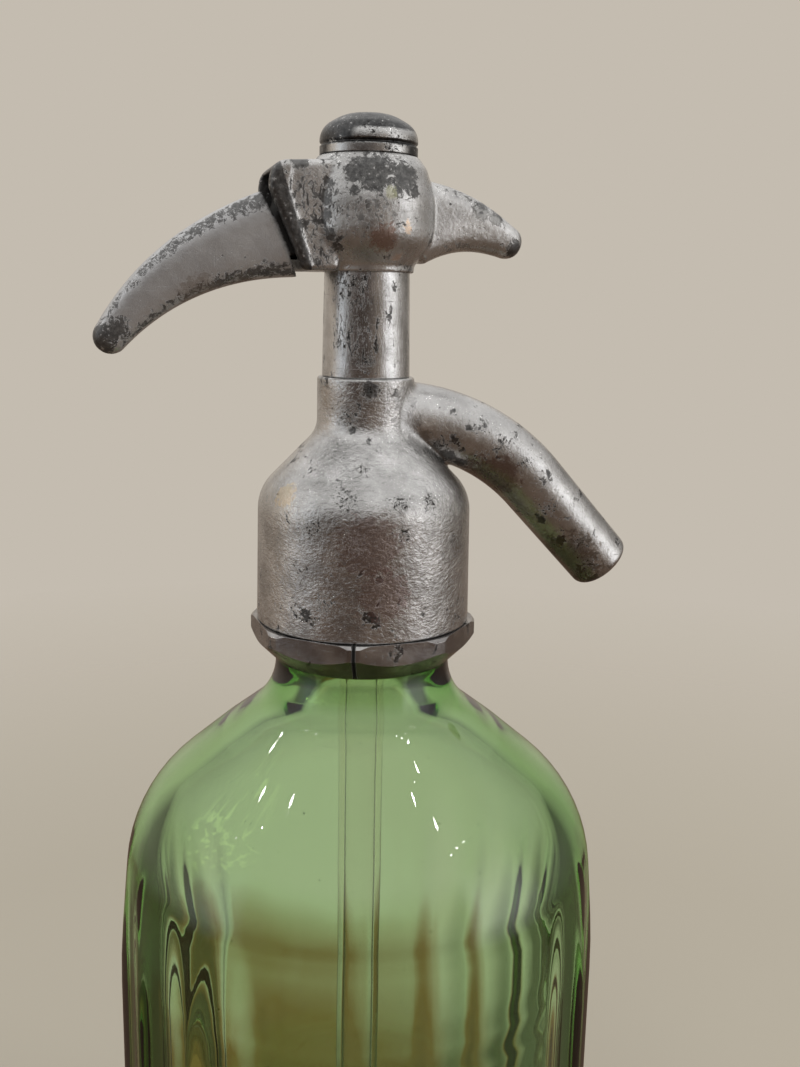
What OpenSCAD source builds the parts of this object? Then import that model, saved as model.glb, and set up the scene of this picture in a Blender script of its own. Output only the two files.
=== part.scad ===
// Lever soda siphon: a thick fluted glass bottle under a cast pewter head with a
// hand lever, a spring-loaded valve and a bent spout.
// The origin is the centre of the foot ring. +Z is up, the spout points along +X
// and the lever along -X; the smooth panels of the glass face -Y and +Y.

/* [Glass bottle] */
// Diameter of the body
body_d = 109; // [104:0.5:116]
// Height from the foot to the top of the lip
bottle_h = 221; // [205:1:240]
// Thickness of the wall
glass_wall = 6.5; // [5:0.5:8]
// Thickness of the floor over the hollow of the foot
floor_t = 9; // [6:1:12]
// Depth of the hollow under the foot
punt_h = 4; // [2:0.5:6]
// Diameter on which the foot ring stands
foot_d = 84; // [78:1:88]
// Diameter of the neck under the split ring
neck_d = 38.4; // [37:0.2:40]
// Diameter of the groove that the split ring grips
groove_d = 30; // [28:0.5:31]
// Height of that groove
groove_h = 15.8; // [14:0.2:18]
// Diameter of the lip
lip_d = 35.6; // [34.5:0.1:36]
// Height of the lip
lip_h = 8; // [6:0.5:9]
// Bore of the mouth
mouth_d = 21; // [20:0.5:22]
// Height over which the shoulder widens to the full body
shoulder_h = 67.5; // [62:0.5:76]

/* [Flutes] */
// Flutes on each side of the bottle
flute_count = 6; // [4:1:6]
// Angle between neighbouring flutes
flute_pitch = 19.3; // [18:0.1:20]
// Width of a flute
flute_w = 15; // [12:0.5:16]
// Depth of a flute below the round of the body
flute_depth = 1.7; // [1.2:0.1:2.4]

/* [Split ring] */
// Octagon's size across its flats
ring_flats = 46.8; // [46.4:0.2:49]
// Height of the octagon
ring_h = 8.4; // [7:0.2:10]
// Height of the threaded sleeve above the octagon
sleeve_h = 15; // [13.5:0.5:15]
// Width of the sawn joint between the halves
ring_split = 0.5; // [0.3:0.1:0.8]
// Turn of the joint away from the front
split_turn = 17; // [0:1:22]
// Width of the chamfer on the octagon's upper edge
ring_top_chamfer = 0.6; // [0.6:0.2:2]
// Width of the chamfer on the octagon's lower edge
ring_low_chamfer = 5.2; // [3:0.2:5.2]

/* [Head] */
// Outer diameter of the bell at its rim
bell_d = 46.6; // [46:0.2:48]
// Wall of the bell
bell_wall = 2.6; // [2:0.1:3]
// Outer diameter of the neck that carries the spout
stem_d = 20.7; // [20:0.1:22]
// Height of the head from its rim to the top of the neck
head_h = 52.3; // [50:0.5:56]
// Height from the rim to the corner of the bell's shoulder
bell_h = 28; // [27:0.2:31]
// Thickness of the web that carries the valve seat
web_t = 6; // [5:0.5:7]
// Bore of the valve chamber and of the column
bore_d = 12; // [11:0.2:12.4]
// Clearance between the bell and what is screwed into it
screw_gap = 0.3; // [0.2:0.05:0.4]

/* [Column] */
// Outer diameter of the column at its foot
column_d = 18.7; // [17.7:0.1:19.5]
// Visible length of the column
column_h = 22.4; // [18:0.2:30]
// Taper of the column's diameter over that length
column_taper = 0.8; // [0:0.1:1]
// Diameter of the spigots at both ends
spigot_d = 15; // [14.4:0.1:16]
// Length of the lower spigot
spigot_h = 4.6; // [3:0.2:4.8]
// Length of the upper spigot
top_spigot_h = 3; // [2:0.2:3.4]

/* [Spout] */
// Depth of the spout's axis below the top of the head's neck
spout_drop = 8.8; // [8.6:0.1:10]
// Straight start of the spout's axis
spout_start = 5; // [3:0.5:6]
// Radius of the bend
spout_bend_r = 46; // [40:1:52]
// Angle of the bend
spout_bend = 47.3; // [40:0.1:52]
// Length of the straight end
spout_end = 26.8; // [20:0.2:32]
// Outer diameter at the root
spout_root_d = 16.1; // [15:0.1:16.6]
// Outer diameter at the tip
spout_tip_d = 14.2; // [12.6:0.1:14.8]
// Bore of the spout
spout_bore_d = 7.2; // [6:0.1:7.4]
// Rounding of the tip's edge
spout_edge = 1.8; // [0.8:0.1:2]

/* [Lever housing] */
// Largest diameter of the barrel
barrel_d = 27.9; // [27:0.1:30]
// Height of the barrel
barrel_h = 22.2; // [21:0.1:24]
// Diameter of the barrel's top face
barrel_top_d = 20.6; // [20:0.1:21.4]
// Bore of the spring chamber
chamber_d = 16.4; // [16:0.1:17]
// Width of the mouth over its side walls
mouth_w = 17; // [16:0.2:18]
// Thickness of the mouth's side walls
mouth_wall = 1.6; // [1.2:0.1:2]
// Reach of the mouth's upper edge from the axis
mouth_reach_top = 21.9; // [20:0.1:24]
// Reach of the mouth's lower edge from the axis
mouth_reach_low = 15; // [14.4:0.1:15.4]
// Depth of the mouth's top below the top of the barrel
mouth_drop = 2.3; // [1.6:0.1:3]
// Width of the thick band round the mouth's rim
lip_band = 2.4; // [1.6:0.1:3]
// Height of that band over the side walls
lip_proud = 0.5; // [0.3:0.1:0.7]

/* [Lever] */
// Distance from the piston's axis to the lever's rocking edge
fulcrum_x = 13.6; // [13:0.1:13.8]
// Height of the rocking edge above the barrel's foot
fulcrum_h = 2.2; // [2:0.1:2.6]
// Radius of the rocking edge
fulcrum_r = 1.1; // [0.9:0.1:1.2]
// Clearance between the rocking edge and its groove
fulcrum_gap = 0.08; // [0.05:0.01:0.1]
// Travel of the lever
lever_travel = 13; // [10:0.5:14]
// Reach of the lever's tip from the axis
lever_reach = 56; // [50:0.5:62]
// Drop of the tip's centre below the barrel's foot
lever_tip_drop = 14.6; // [12:0.2:18]
// Height of the lever's shoulder
lever_root_h = 18.2; // [17:0.1:18.6]
// Width of the lever's shoulder
lever_root_w = 14.6; // [13:0.1:15.2]
// Diameter of the tip
lever_tip_d = 7; // [6:0.1:8]
// Gap between the lever's shoulder and the mouth's rim
lever_gap = 1.2; // [1:0.1:1.6]
// Width of the tongue that lifts the piston
tongue_w = 4.6; // [4:0.1:5]
// Diameter of the tongue's round nose
nose_d = 4.2; // [4:0.1:4.6]
// Height of the nose above the barrel's foot
nose_h = 7.4; // [7:0.1:8]

/* [Finger horn] */
// Reach of the horn's tip from the axis
horn_reach = 33.8; // [30:0.2:38]
// Height of the tip's centre above the barrel's foot
horn_tip_h = 6.2; // [4:0.1:8]
// Height of the horn where it leaves the barrel
horn_root_h = 16; // [14:0.2:17]
// Width of the horn where it leaves the barrel
horn_root_w = 13; // [11:0.2:14]
// Diameter of the tip
horn_tip_d = 7; // [6:0.1:8]

/* [Screw cap] */
// Diameter of the cap
cap_d = 20.2; // [19.6:0.1:21]
// Height of the cap above its washer
cap_h = 7.9; // [7.4:0.1:9]
// Height of the cap's domed top
cap_dome = 3.2; // [2.4:0.1:3.6]
// Rounding between the cap's side and its dome
cap_round = 4.4; // [2:0.2:4.6]
// Depth of the threaded skirt in the barrel
skirt_h = 5; // [4:0.2:6]
// Bore of the cap, which holds the spring
cap_bore_d = 13; // [12.6:0.1:13.4]
// Thickness of the washer under the cap
cap_washer_t = 0.6; // [0.5:0.1:1]

/* [Valve and piston] */
// Diameter of the rod
rod_d = 5; // [4.4:0.1:5.6]
// Clearance of the nose in its window, above and below
window_gap = 0.16; // [0.14:0.01:0.2]
// Length of the guide below the window
guide_low = 9; // [7:0.5:11]
// Length of the guide above the window
guide_top = 2.2; // [1.6:0.1:2.6]
// Diameter of the holder that carries the valve washer
holder_d = 9.6; // [9:0.1:10]
// Height of the holder
holder_h = 4; // [3:0.2:5]
// Thickness of the valve washer
valve_washer_t = 3; // [2:0.1:3.6]
// Diameter of the valve washer
valve_washer_d = 8.8; // [8:0.1:9]
// Bore of the valve seat
seat_bore_d = 5.6; // [5:0.1:6]
// Outer diameter of the valve seat's threaded stem
seat_stem_d = 9; // [8.6:0.1:9.6]
// Thickness of the valve seat's flange
seat_flange_t = 1.2; // [1:0.1:1.6]
// Height of the seat's raised ring
seat_ring_h = 0.8; // [0.5:0.1:1]
// Thickness of the cup washer that seals the column
cup_h = 4; // [3:0.2:5]
// Height of the cup washer above the column's foot
cup_z = 2; // [1:0.2:4]
// Sliding clearance in the bore
slide_gap = 0.1; // [0.08:0.01:0.1]
// Height of the packing nut
nut_h = 3; // [2.4:0.1:3.6]
// Size of the packing nut across its flats
nut_flats = 8.4; // [8:0.1:9]

/* [Spring] */
// Wire of the return spring
wire_d = 1.3; // [1.1:0.05:1.4]
// Turns of the return spring
spring_turns = 5; // [4:0.5:6]
// Mean diameter of the return spring
spring_d = 10.4; // [9.6:0.1:10.8]
// Thickness of the washer that the spring stands on
spring_washer_t = 1; // [0.8:0.1:1.2]

/* [Dip tube and seals] */
// Outer diameter of the dip tube
tube_d = 10; // [9:0.1:10.4]
// Bore of the dip tube
tube_bore_d = 6.6; // [6:0.1:7]
// Gap between the dip tube and the floor
tube_floor_gap = 4; // [2:0.5:8]
// Thickness of the rubber sleeve round the dip tube
sleeve_t = 1.4; // [1.2:0.1:1.6]
// Length of that sleeve
sleeve_len = 12; // [10:0.5:13]
// Wall of the tube holder
holder_wall = 1.5; // [1.2:0.1:1.8]
// Thickness of the tube holder's flange
flange_t = 2; // [1.6:0.1:2.6]
// Thickness of the gaskets on both sides of that flange
gasket_t = 1.5; // [1:0.1:2]

/* [Hidden] */

$fn = 96;
cut = 1;                 // how far a cutter runs past what it cuts
fit = 0.05;              // gap of a soldered, screwed or pressed fit
seat_gap = 0.02;         // gap between faces that are drawn tight

pewter = [0.62, 0.61, 0.59];
brass = [0.72, 0.58, 0.33];
rubber = [0.16, 0.15, 0.14];
leather = [0.36, 0.24, 0.15];
green_glass = [0.45, 0.66, 0.38, 0.45];

// Bottle
body_r = body_d / 2;
neck_r = neck_d / 2;
lip_r = lip_d / 2;
groove_r = groove_d / 2;
mouth_r = mouth_d / 2;
neck_top_z = bottle_h - lip_h - groove_h;
foot_land = 5;           // width of the ring that the bottle stands on
foot_step = 0.8;         // upright edge of the hollow under the foot
heel_r = 9;              // rounding of the heel
floor_z = punt_h + floor_t;
flute_rise = body_r - sqrt(pow(body_r, 2) - pow(flute_w / 2, 2));
flute_sink = flute_depth - flute_rise;
flute_r = (pow(flute_w / 2, 2) + pow(flute_sink, 2)) / (2 * flute_sink);
dome_low_in = 3.1;       // how far the dome has drawn in at half the shoulder's height
dome_top_r = body_r / 2 + 5;
dome_top_drop = 17.5;    // from the ring down to the dome's upper corner
neck_drop = 7.5;         // from the ring down to the corner between neck and dome
// corners of the shoulder, from the body to the neck: [radius, height, rounding]
shoulder = [
    [body_r, 0, 0],
    [body_r, neck_top_z - shoulder_h, 150],
    [body_r - dome_low_in, neck_top_z - shoulder_h / 2, 30],
    [dome_top_r, neck_top_z - dome_top_drop, 24],
    [neck_r, neck_top_z - neck_drop, 9],
    [neck_r, neck_top_z, 0]];

// Split ring, gaskets and head
ring_gap = 0.3;
ring_z = neck_top_z + ring_gap;
ring_top_z = ring_z + ring_h;
ring_corner_r = ring_flats / 2 / cos(180 / 8);
ring_round_r = ring_corner_r - 0.5;
split_turn_from_x = -90 - split_turn;
groove_gap = 0.3;        // room between the ring and the glass
rim_z = ring_top_z + ring_gap;
bell_r = bell_d / 2;
bell_taper = 0.35;       // how much the bell narrows up to its shoulder
thread_r = bell_r - bell_wall;
gasket_r = lip_r - 0.4;
gasket_inset = 0.5;
gasket_z = bottle_h + seat_gap;
flange_z = gasket_z + gasket_t + seat_gap;
head_gasket_z = flange_z + flange_t + seat_gap;
ceiling_z = head_gasket_z + gasket_t + seat_gap;
stem_r = stem_d / 2;
head_top_z = rim_z + head_h;
bell_top_z = rim_z + bell_h;
seat_ring_w = 1.2;       // width of the valve seat's raised ring
tube_r = tube_d / 2;
holder_r = tube_r + sleeve_t + holder_wall;
holder_stop_z = flange_z - 1;
holder_low_z = holder_stop_z - sleeve_len - 1;
bore_r = bore_d / 2;
web_top_z = ceiling_z + web_t;
bell_round = 10;         // convex rounding of the bell's shoulder
stem_round = 6;          // hollow rounding between shoulder and neck
shoulder_slope = 45;     // slope of the bell's shoulder

// Column and lever housing
spigot_r = spigot_d / 2;
column_top_z = head_top_z + column_h;
column_top_r = (column_d - column_taper) / 2;
barrel_r = barrel_d / 2;
barrel_top_z = column_top_z + barrel_h;
chamber_r = chamber_d / 2;
chamber_z = column_top_z + top_spigot_h + 0.6;
mouth_top_z = barrel_top_z - mouth_drop;
mouth_low_z = column_top_z - 0.9;
mouth_in_w = mouth_w - 2 * mouth_wall;
mouth_roof = 1.8;        // thickness of the mouth's roof
mouth_sill = 1.2;        // length of the sill between the mouth and the spring chamber
mouth_floor_z = column_top_z + 1.5;
mouth_tip_in = 0.8;      // how far the rim's upper corner leans back
mouth_tip_h = 5;         // height of that corner
barrel_step = 0.9;       // how far the barrel's foot stands out over the column
barrel_low_h = 5.2;      // height at which the barrel reaches its full width
barrel_wide_h = 13.5;    // height from which it narrows again
barrel_neck_h = 2.4;     // height of its narrow upper end
// the rim in side view, from its top to its foot
rim_line = [[-mouth_reach_top + mouth_tip_in, mouth_top_z + cut],
    [-mouth_reach_top, mouth_top_z - mouth_tip_h], [-mouth_reach_low, mouth_low_z]];
mouth_round = 2.2;       // rounding of the mouth's long edges

// Finger horn; shares are of its height and width at the root
root_swell = 0.55;       // half height of an arm's root, so that its cut end has its full height
horn_depth = 4;          // how deep its first section lies in the barrel
horn_root_level = 0.6;   // share of the height at which its axis starts
horn_waist = 0.29;
horn_slim = 0.33;
horn_root_way = [9.9, 1.6];
horn_tip_way = [-3.9, 1.8];

// Lever; shares are of its height and width at the shoulder
lever_root_level = 0.426;
lever_waist = 0.429;
lever_slim = 0.44;
lever_root_way = [-6.2, -1.6];
lever_tip_way = [13.9, 18.8];
hub_gap = 0.3;           // room between the hub and each side wall
hub_outer = [[-5, 12.6], [-7, 6], [-3.4, 0], [1.8, 0]];  // hub corners, from the rocking edge
hub_inner = [[-1.6, -1.4], [-1.6, 4.4]];                 // the rest, from the chamber wall at the nose
tongue_root = [[-3, 4], [-3, -1.4], [0, -0.6]];          // tongue in the hub, from the same place
tongue_low = 0.66;       // tongue below and above the nose's centre, as shares of its radius
tongue_top = 0.9;
tongue_neck = 6.6;       // length of its straight upper side
heel_cut = [-1.6, -1.4]; // foot of the arm's cut, from the edge and the mouth's foot
toe_cut = -1.2;
fulcrum_z = column_top_z + fulcrum_h;
nose_z = column_top_z + nose_h;
lever_low_z = column_top_z - lever_root_h;
nose_r = nose_d / 2;
window_h = nose_d + 2 * window_gap;
window_w = tongue_w + 2 * window_gap;

// Piston
valve_z = web_top_z + seat_flange_t + seat_ring_h + seat_gap;
holder_z = valve_z + valve_washer_t + seat_gap;
guide_z = nose_z - window_h / 2 - guide_low;
piston_top_z = nose_z + window_h / 2 + guide_top;
cup_bottom_z = head_top_z + cup_z;
nut_z = cup_bottom_z + cup_h + seat_gap;
collar_h = 1.6;          // height of the rod's collar under the cup washer
screw_r = 1.2;           // shank of the screw that holds the valve washer
screw_head_h = 1.2;
screw_len = 3;           // depth of that screw in the rod

// Cap and spring
cap_washer_z = barrel_top_z + seat_gap;
cap_z = cap_washer_z + cap_washer_t + seat_gap;
cap_top_z = cap_z + cap_h;
cap_r = cap_d / 2;
cap_roof = 3;            // thickness of the cap over the spring
spring_z = piston_top_z + seat_gap + spring_washer_t + seat_gap;
spring_top_z = cap_top_z - cap_roof - seat_gap;

// Spout
spout_z = head_top_z - spout_drop;
bend_room = 0.1;         // extra radius of the bore in the bend
bend_len = spout_bend_r * spout_bend * PI / 180;
spout_len = spout_start + bend_len + spout_end;

// ---- helpers: profiles with rounded corners, and lofts ----

function xy(p) = [p[0], p[1]];
function unit(v) = v / norm(v);

// Where the line through a and b meets the line through c and d
function meet(a, b, c, d) = let (u = b - a, v = d - c, k = u[0] * v[1] - u[1] * v[0])
    a + u * ((c[0] - a[0]) * v[1] - (c[1] - a[1]) * v[0]) / k;

// An open chain of [x, y, radius] corners, moved to its left by d
function side_step(a, b, d) = let (u = unit(b - a)) d * [-u[1], u[0]];
function inset(p, d) = [for (i = [0:len(p) - 1])
    let (b = xy(p[i]), a = i > 0 ? xy(p[i - 1]) : b, c = i < len(p) - 1 ? xy(p[i + 1]) : b,
        before = i > 0 ? side_step(a, b, d) : side_step(b, c, d),
        after = i < len(p) - 1 ? side_step(b, c, d) : before,
        q = i == 0 || i == len(p) - 1 ? b + before
            : meet(a + before, b + before, b + after, c + after),
        bend = (b[0] - a[0]) * (c[1] - b[1]) - (b[1] - a[1]) * (c[0] - b[0]))
    [q[0], q[1], p[i][2] == 0 ? 0 : max(0.2, p[i][2] - sign(bend) * d)]];

// Points of the arc that rounds corner b between a and c; the radius gives way
// where an edge is too short for it
function corner(a, b, c, r) =
    let (u = unit(a - b), w = unit(c - b), half = acos(min(1, max(-1, u * w))) / 2,
        room = 0.49 * min(norm(a - b), norm(c - b)), q = min(r, room * tan(half)))
    q < 0.01 || half > 89 ? [b] :
    let (t = q / tan(half), centre = b + unit(u + w) * q / sin(half),
        s = b + u * t - centre, e = b + w * t - centre,
        a0 = atan2(s[1], s[0]), turn = atan2(s[0] * e[1] - s[1] * e[0], s * e),
        n = max(2, ceil(abs(turn) / 9)))
    [for (i = [0:n]) centre + q * [cos(a0 + turn * i / n), sin(a0 + turn * i / n)]];

// A closed outline from corners given as [x, y, radius]
function rounded(p) = [for (i = [0:len(p) - 1])
    each corner(xy(p[(i + len(p) - 1) % len(p)]), xy(p[i]), xy(p[(i + 1) % len(p)]), p[i][2])];

function bezier(p, t) = pow(1 - t, 3) * p[0] + 3 * pow(1 - t, 2) * t * p[1]
    + 3 * (1 - t) * pow(t, 2) * p[2] + pow(t, 3) * p[3];
function bezier_way(p, t) = unit(pow(1 - t, 2) * (p[1] - p[0])
    + 2 * (1 - t) * t * (p[2] - p[1]) + pow(t, 2) * (p[3] - p[2]));

// One ring of a loft in the XZ plane: a rounded section of half height h and
// half width w, square to the direction d
function ring(c, d, h, w, sides, power) = [for (i = [0:sides - 1])
    let (a = -360 * (i + 0.5) / sides, k = cos(a), s = sin(a),
        v = sign(k) * pow(abs(k), 2 / power) * h, u = sign(s) * pow(abs(s), 2 / power) * w)
    [c[0] - d[1] * v, u, c[1] + d[0] * v]];

// Skin over rings that all have the same number of points
module loft(rings) {
    n = len(rings[0]);
    last = len(rings) - 1;
    faces = concat(
        [[for (i = [0:n - 1]) i]],
        [[for (i = [n - 1:-1:0]) last * n + i]],
        [for (k = [0:last - 1], i = [0:n - 1]) [k * n + i, (k + 1) * n + i, k * n + (i + 1) % n]],
        [for (k = [0:last - 1], i = [0:n - 1])
            [k * n + (i + 1) % n, (k + 1) * n + i, (k + 1) * n + (i + 1) % n]]);
    polyhedron([for (r = rings) each r], faces);
}

// A curved, tapering arm with a round tip. way is a bezier of [x, z] points;
// h and w hold the half heights and half widths at the root, the middle and the tip
module arm_loft(way, h, w, sides, steps) {
    tip_steps = 4;
    end = way[3];
    end_way = bezier_way(way, 1);
    function blend(v, t) = v[0] * pow(1 - t, 2) + 2 * v[1] * t * (1 - t) + v[2] * pow(t, 2);
    loft(concat(
        [for (i = [0:steps]) let (t = i / steps)
            ring(bezier(way, t), bezier_way(way, t), blend(h, t), blend(w, t), sides, 3 - t)],
        [for (i = [1:tip_steps]) let (a = 84 * i / tip_steps)
            ring(end + end_way * h[2] * sin(a), end_way, h[2] * cos(a), w[2] * cos(a), sides, 2)]));
}

module cylinder_at(r, z0, z1) {
    translate([0, 0, z0]) cylinder(r = r, h = z1 - z0);
}

module tube(r_out, r_in, z0, z1) {
    translate([0, 0, z0]) difference() {
        cylinder(r = r_out, h = z1 - z0);
        translate([0, 0, -cut]) cylinder(r = r_in, h = z1 - z0 + 2 * cut);
    }
}

// Thin plate in the XZ plane, centred on Y
module plate(width) {
    translate([0, width / 2, 0]) rotate([90, 0, 0]) linear_extrude(width) children();
}

// ---- bottle ----

module glass_outer() {
    rotate_extrude() polygon(rounded(concat(
        [[0, 0, 0], [body_r, 0, heel_r]],
        [for (i = [1:len(shoulder) - 1]) shoulder[i]],
        [[0, neck_top_z, 0]])));
}

module glass_inner() {
    wall = inset(shoulder, glass_wall);
    n = len(wall);
    neck_in = meet(xy(wall[n - 2]), xy(wall[n - 3]), [mouth_r, 0], [mouth_r, 1]);
    rotate_extrude() polygon(rounded(concat(
        [[0, floor_z, 0], [body_r - glass_wall, floor_z, 2 * heel_r]],
        [for (i = [1:n - 3]) wall[i]],
        [[mouth_r, neck_in[1], neck_r - mouth_r], [mouth_r, bottle_h + cut, 0],
            [0, bottle_h + cut, 0]])));
}

module flute_cutters() {
    first = 90 - flute_pitch * (flute_count - 1) / 2;
    for (side = [0, 180], i = [0:flute_count - 1])
        rotate(side - 90 + first + flute_pitch * i)
            translate([body_r - flute_depth + flute_r, 0, -cut])
                cylinder(r = flute_r, h = neck_top_z);
}

module glass_bottle() {
    color(green_glass) difference() {
        union() {
            difference() {
                glass_outer();
                flute_cutters();
            }
            translate([0, 0, neck_top_z - cut]) cylinder(r = groove_r, h = groove_h + 2 * cut);
            translate([0, 0, bottle_h - lip_h]) rotate_extrude() polygon(rounded([
                [0, 0, 0], [lip_r, 0, 1], [lip_r, lip_h, 2], [0, lip_h, 0]]));
        }
        glass_inner();
        // hollow under the foot
        translate([0, 0, -cut]) rotate_extrude() polygon([
            [0, 0], [foot_d / 2 - foot_land, 0], [foot_d / 2 - foot_land, cut + foot_step],
            [0, cut + punt_h]]);
    }
}

// ---- split ring ----

module ring_half(side) {
    color(pewter) difference() {
        union() {
            translate([0, 0, ring_z]) intersection() {
                rotate(split_turn_from_x) cylinder(r = ring_corner_r, h = ring_h, $fn = 8);
                rotate_extrude() polygon([
                    [0, 0], [ring_round_r - ring_low_chamfer, 0], [ring_round_r, ring_low_chamfer],
                    [ring_round_r, ring_h - ring_top_chamfer],
                    [ring_round_r - ring_top_chamfer, ring_h], [0, ring_h]]);
            }
            cylinder_at(thread_r - screw_gap, ring_z + cut, ring_top_z + sleeve_h);
        }
        cylinder_at(groove_r + groove_gap, ring_z - cut, ring_top_z + sleeve_h + cut);
        cylinder_at(lip_r + groove_gap, bottle_h - lip_h - seat_gap, ring_top_z + sleeve_h + cut);
        // the other half and the sawn joint
        rotate(split_turn_from_x)
            translate([-body_r, side * (body_r - ring_split / 2) - body_r, ring_z - cut])
                cube([2 * body_r, 2 * body_r, ring_h + sleeve_h + 2 * cut]);
    }
}

module split_ring_left() ring_half(-1);
module split_ring_right() ring_half(1);

// ---- tube holder, seals and dip tube ----

module neck_gasket() color(rubber) tube(gasket_r, mouth_r + gasket_inset, gasket_z, gasket_z + gasket_t);

module head_gasket() color(rubber)
    tube(gasket_r, holder_r, head_gasket_z, head_gasket_z + gasket_t);

module tube_holder() {
    color(pewter) difference() {
        union() {
            cylinder_at(gasket_r, flange_z, flange_z + flange_t);
            cylinder_at(holder_r, holder_low_z, flange_z + cut / 2);
        }
        cylinder_at(tube_r + sleeve_t + fit, holder_low_z - cut, holder_stop_z);
        cylinder_at(tube_bore_d / 2, holder_stop_z - cut, flange_z + flange_t + cut);
    }
}

module tube_sleeve() color(rubber)
    tube(tube_r + sleeve_t, tube_r + seat_gap, holder_stop_z - seat_gap - sleeve_len,
        holder_stop_z - seat_gap);

module dip_tube() color(green_glass)
    tube(tube_r, tube_bore_d / 2, floor_z + tube_floor_gap, holder_stop_z - seat_gap);

// ---- head ----

// Outside of the head: bell, shoulder and the neck that carries the spout
module head_outer() {
    stem_corner_z = bell_top_z + (bell_r - stem_r) * tan(shoulder_slope);
    rotate_extrude() polygon(rounded([
        [0, rim_z, 0], [bell_r, rim_z, 0.8], [bell_r - bell_taper, bell_top_z, bell_round],
        [stem_r, stem_corner_z, stem_round], [stem_r, head_top_z, 0.6], [0, head_top_z, 0]]));
}

module head_bell() {
    color(pewter) difference() {
        head_outer();
        cylinder_at(thread_r, rim_z - cut, ceiling_z);
        cylinder_at(seat_stem_d / 2 + fit, ceiling_z - cut, web_top_z + cut);
        cylinder_at(bore_r, web_top_z, head_top_z);
        cylinder_at(spigot_r + fit, head_top_z - spigot_h, head_top_z + cut);
        translate([0, 0, spout_z]) rotate([0, 90, 0]) cylinder(d = spout_bore_d, h = bell_r);
    }
}

// Place and direction of the spout's axis at a length along it, in the XZ plane
function spout_turn(s) = max(0, min(spout_bend, (s - spout_start) / bend_len * spout_bend));
function spout_way(s) = let (a = spout_turn(s)) [cos(a), -sin(a)];
function spout_at(s) = let (a = spout_turn(s), straight = max(0, s - spout_start - bend_len))
    [min(s, spout_start) + spout_bend_r * sin(a), spout_z - spout_bend_r * (1 - cos(a))]
    + straight * spout_way(s);
function spout_r(s) = (spout_root_d + (spout_tip_d - spout_root_d) * s / spout_len) / 2;

module spout() {
    steps = 14;
    edge_steps = 4;
    sides = 32;
    first = bore_r + 1;
    body_end = spout_len - spout_edge;
    color(pewter) difference() {
        loft(concat(
            [for (i = [0:steps])
                let (s = first + (body_end - first) * i / steps)
                ring(spout_at(s), spout_way(s), spout_r(s), spout_r(s), sides, 2)],
            [for (i = [1:edge_steps])
                let (a = 90 * i / edge_steps, s = body_end + spout_edge * sin(a),
                    r = spout_r(s) - spout_edge * (1 - cos(a)))
                ring(spout_at(s), spout_way(s), r, r, sides, 2)]));
        head_outer();
        spout_bore();
    }
}

// Bore of the spout: straight, bent and straight again; the bend is a little wider
module spout_bore() {
    r = spout_bore_d / 2;
    tip = spout_at(spout_len);
    translate([0, 0, spout_z]) rotate([0, 90, 0]) cylinder(r = r, h = spout_start + cut);
    translate([spout_start, 0, spout_z - spout_bend_r]) rotate([90, 0, 0])
        rotate([0, 0, 90 - spout_bend]) rotate_extrude(angle = spout_bend)
            translate([spout_bend_r, 0]) circle(r = r + bend_room);
    translate([tip[0], 0, tip[1]]) rotate([0, 90 + spout_bend, 0])
        translate([0, 0, -spout_end - cut]) cylinder(r = r, h = spout_end + 2 * cut);
}

module valve_seat() {
    color(brass) difference() {
        union() {
            cylinder_at(seat_stem_d / 2, ceiling_z + seat_gap, web_top_z + cut / 2);
            cylinder_at(bore_r - fit, web_top_z + seat_gap, web_top_z + seat_flange_t);
            cylinder_at(seat_bore_d / 2 + seat_ring_w, web_top_z + cut / 2,
                web_top_z + seat_flange_t + seat_ring_h);
        }
        cylinder_at(seat_bore_d / 2, ceiling_z - cut, valve_z + cut);
    }
}

// ---- column and lever housing ----

module column_tube() {
    color(pewter) difference() {
        rotate_extrude() polygon(rounded([
            [0, head_top_z - spigot_h + seat_gap, 0],
            [spigot_r, head_top_z - spigot_h + seat_gap, 0.4],
            [spigot_r, head_top_z + seat_gap, 0],
            [column_d / 2, head_top_z + seat_gap, 0],
            [column_top_r, column_top_z - seat_gap, 0],
            [spigot_r, column_top_z - seat_gap, 0],
            [spigot_r, column_top_z + top_spigot_h, 0.4],
            [0, column_top_z + top_spigot_h, 0]]));
        cylinder_at(bore_r, head_top_z - spigot_h - cut, column_top_z + top_spigot_h + cut);
    }
}

module barrel_outer(grow) {
    foot_r = column_top_r + barrel_step + grow;
    r = barrel_r + grow;
    rotate_extrude() polygon(rounded([
        [0, column_top_z, 0], [foot_r, column_top_z, 0.5],
        [r, column_top_z + barrel_low_h, 7], [r, column_top_z + barrel_wide_h, 12],
        [(r + barrel_top_d / 2) / 2, barrel_top_z - barrel_neck_h, 3],
        [barrel_top_d / 2 + grow, barrel_top_z, 0.8], [0, barrel_top_z, 0]]));
}

// Side view of the mouth, grown by the same amount all round
function mouth_outline(grow) = inset([
    [-spigot_r, mouth_top_z, 0], [-mouth_reach_top + mouth_tip_in, mouth_top_z, 2.5],
    [-mouth_reach_top, mouth_top_z - mouth_tip_h, 4], [-mouth_reach_low, mouth_low_z, 1.2],
    [-spigot_r, mouth_low_z, 0]], -grow);

module mouth_shell() {
    intersection() {
        plate(mouth_w + cut) polygon(rounded(mouth_outline(0)));
        mouth_block(mouth_w, 0);
    }
    // thick band along the rim
    intersection() {
        plate(mouth_w + 2 * lip_proud + cut) polygon(rounded(mouth_outline(lip_proud / 2)));
        mouth_block(mouth_w + 2 * lip_proud, lip_proud / 2);
        plate(mouth_w + cut * 4) polygon([for (p = rim_line) [p[0] - cut * 2, p[1]],
            for (i = [len(rim_line) - 1:-1:0]) rim_line[i] + [lip_band, 0]]);
    }
}

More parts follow.
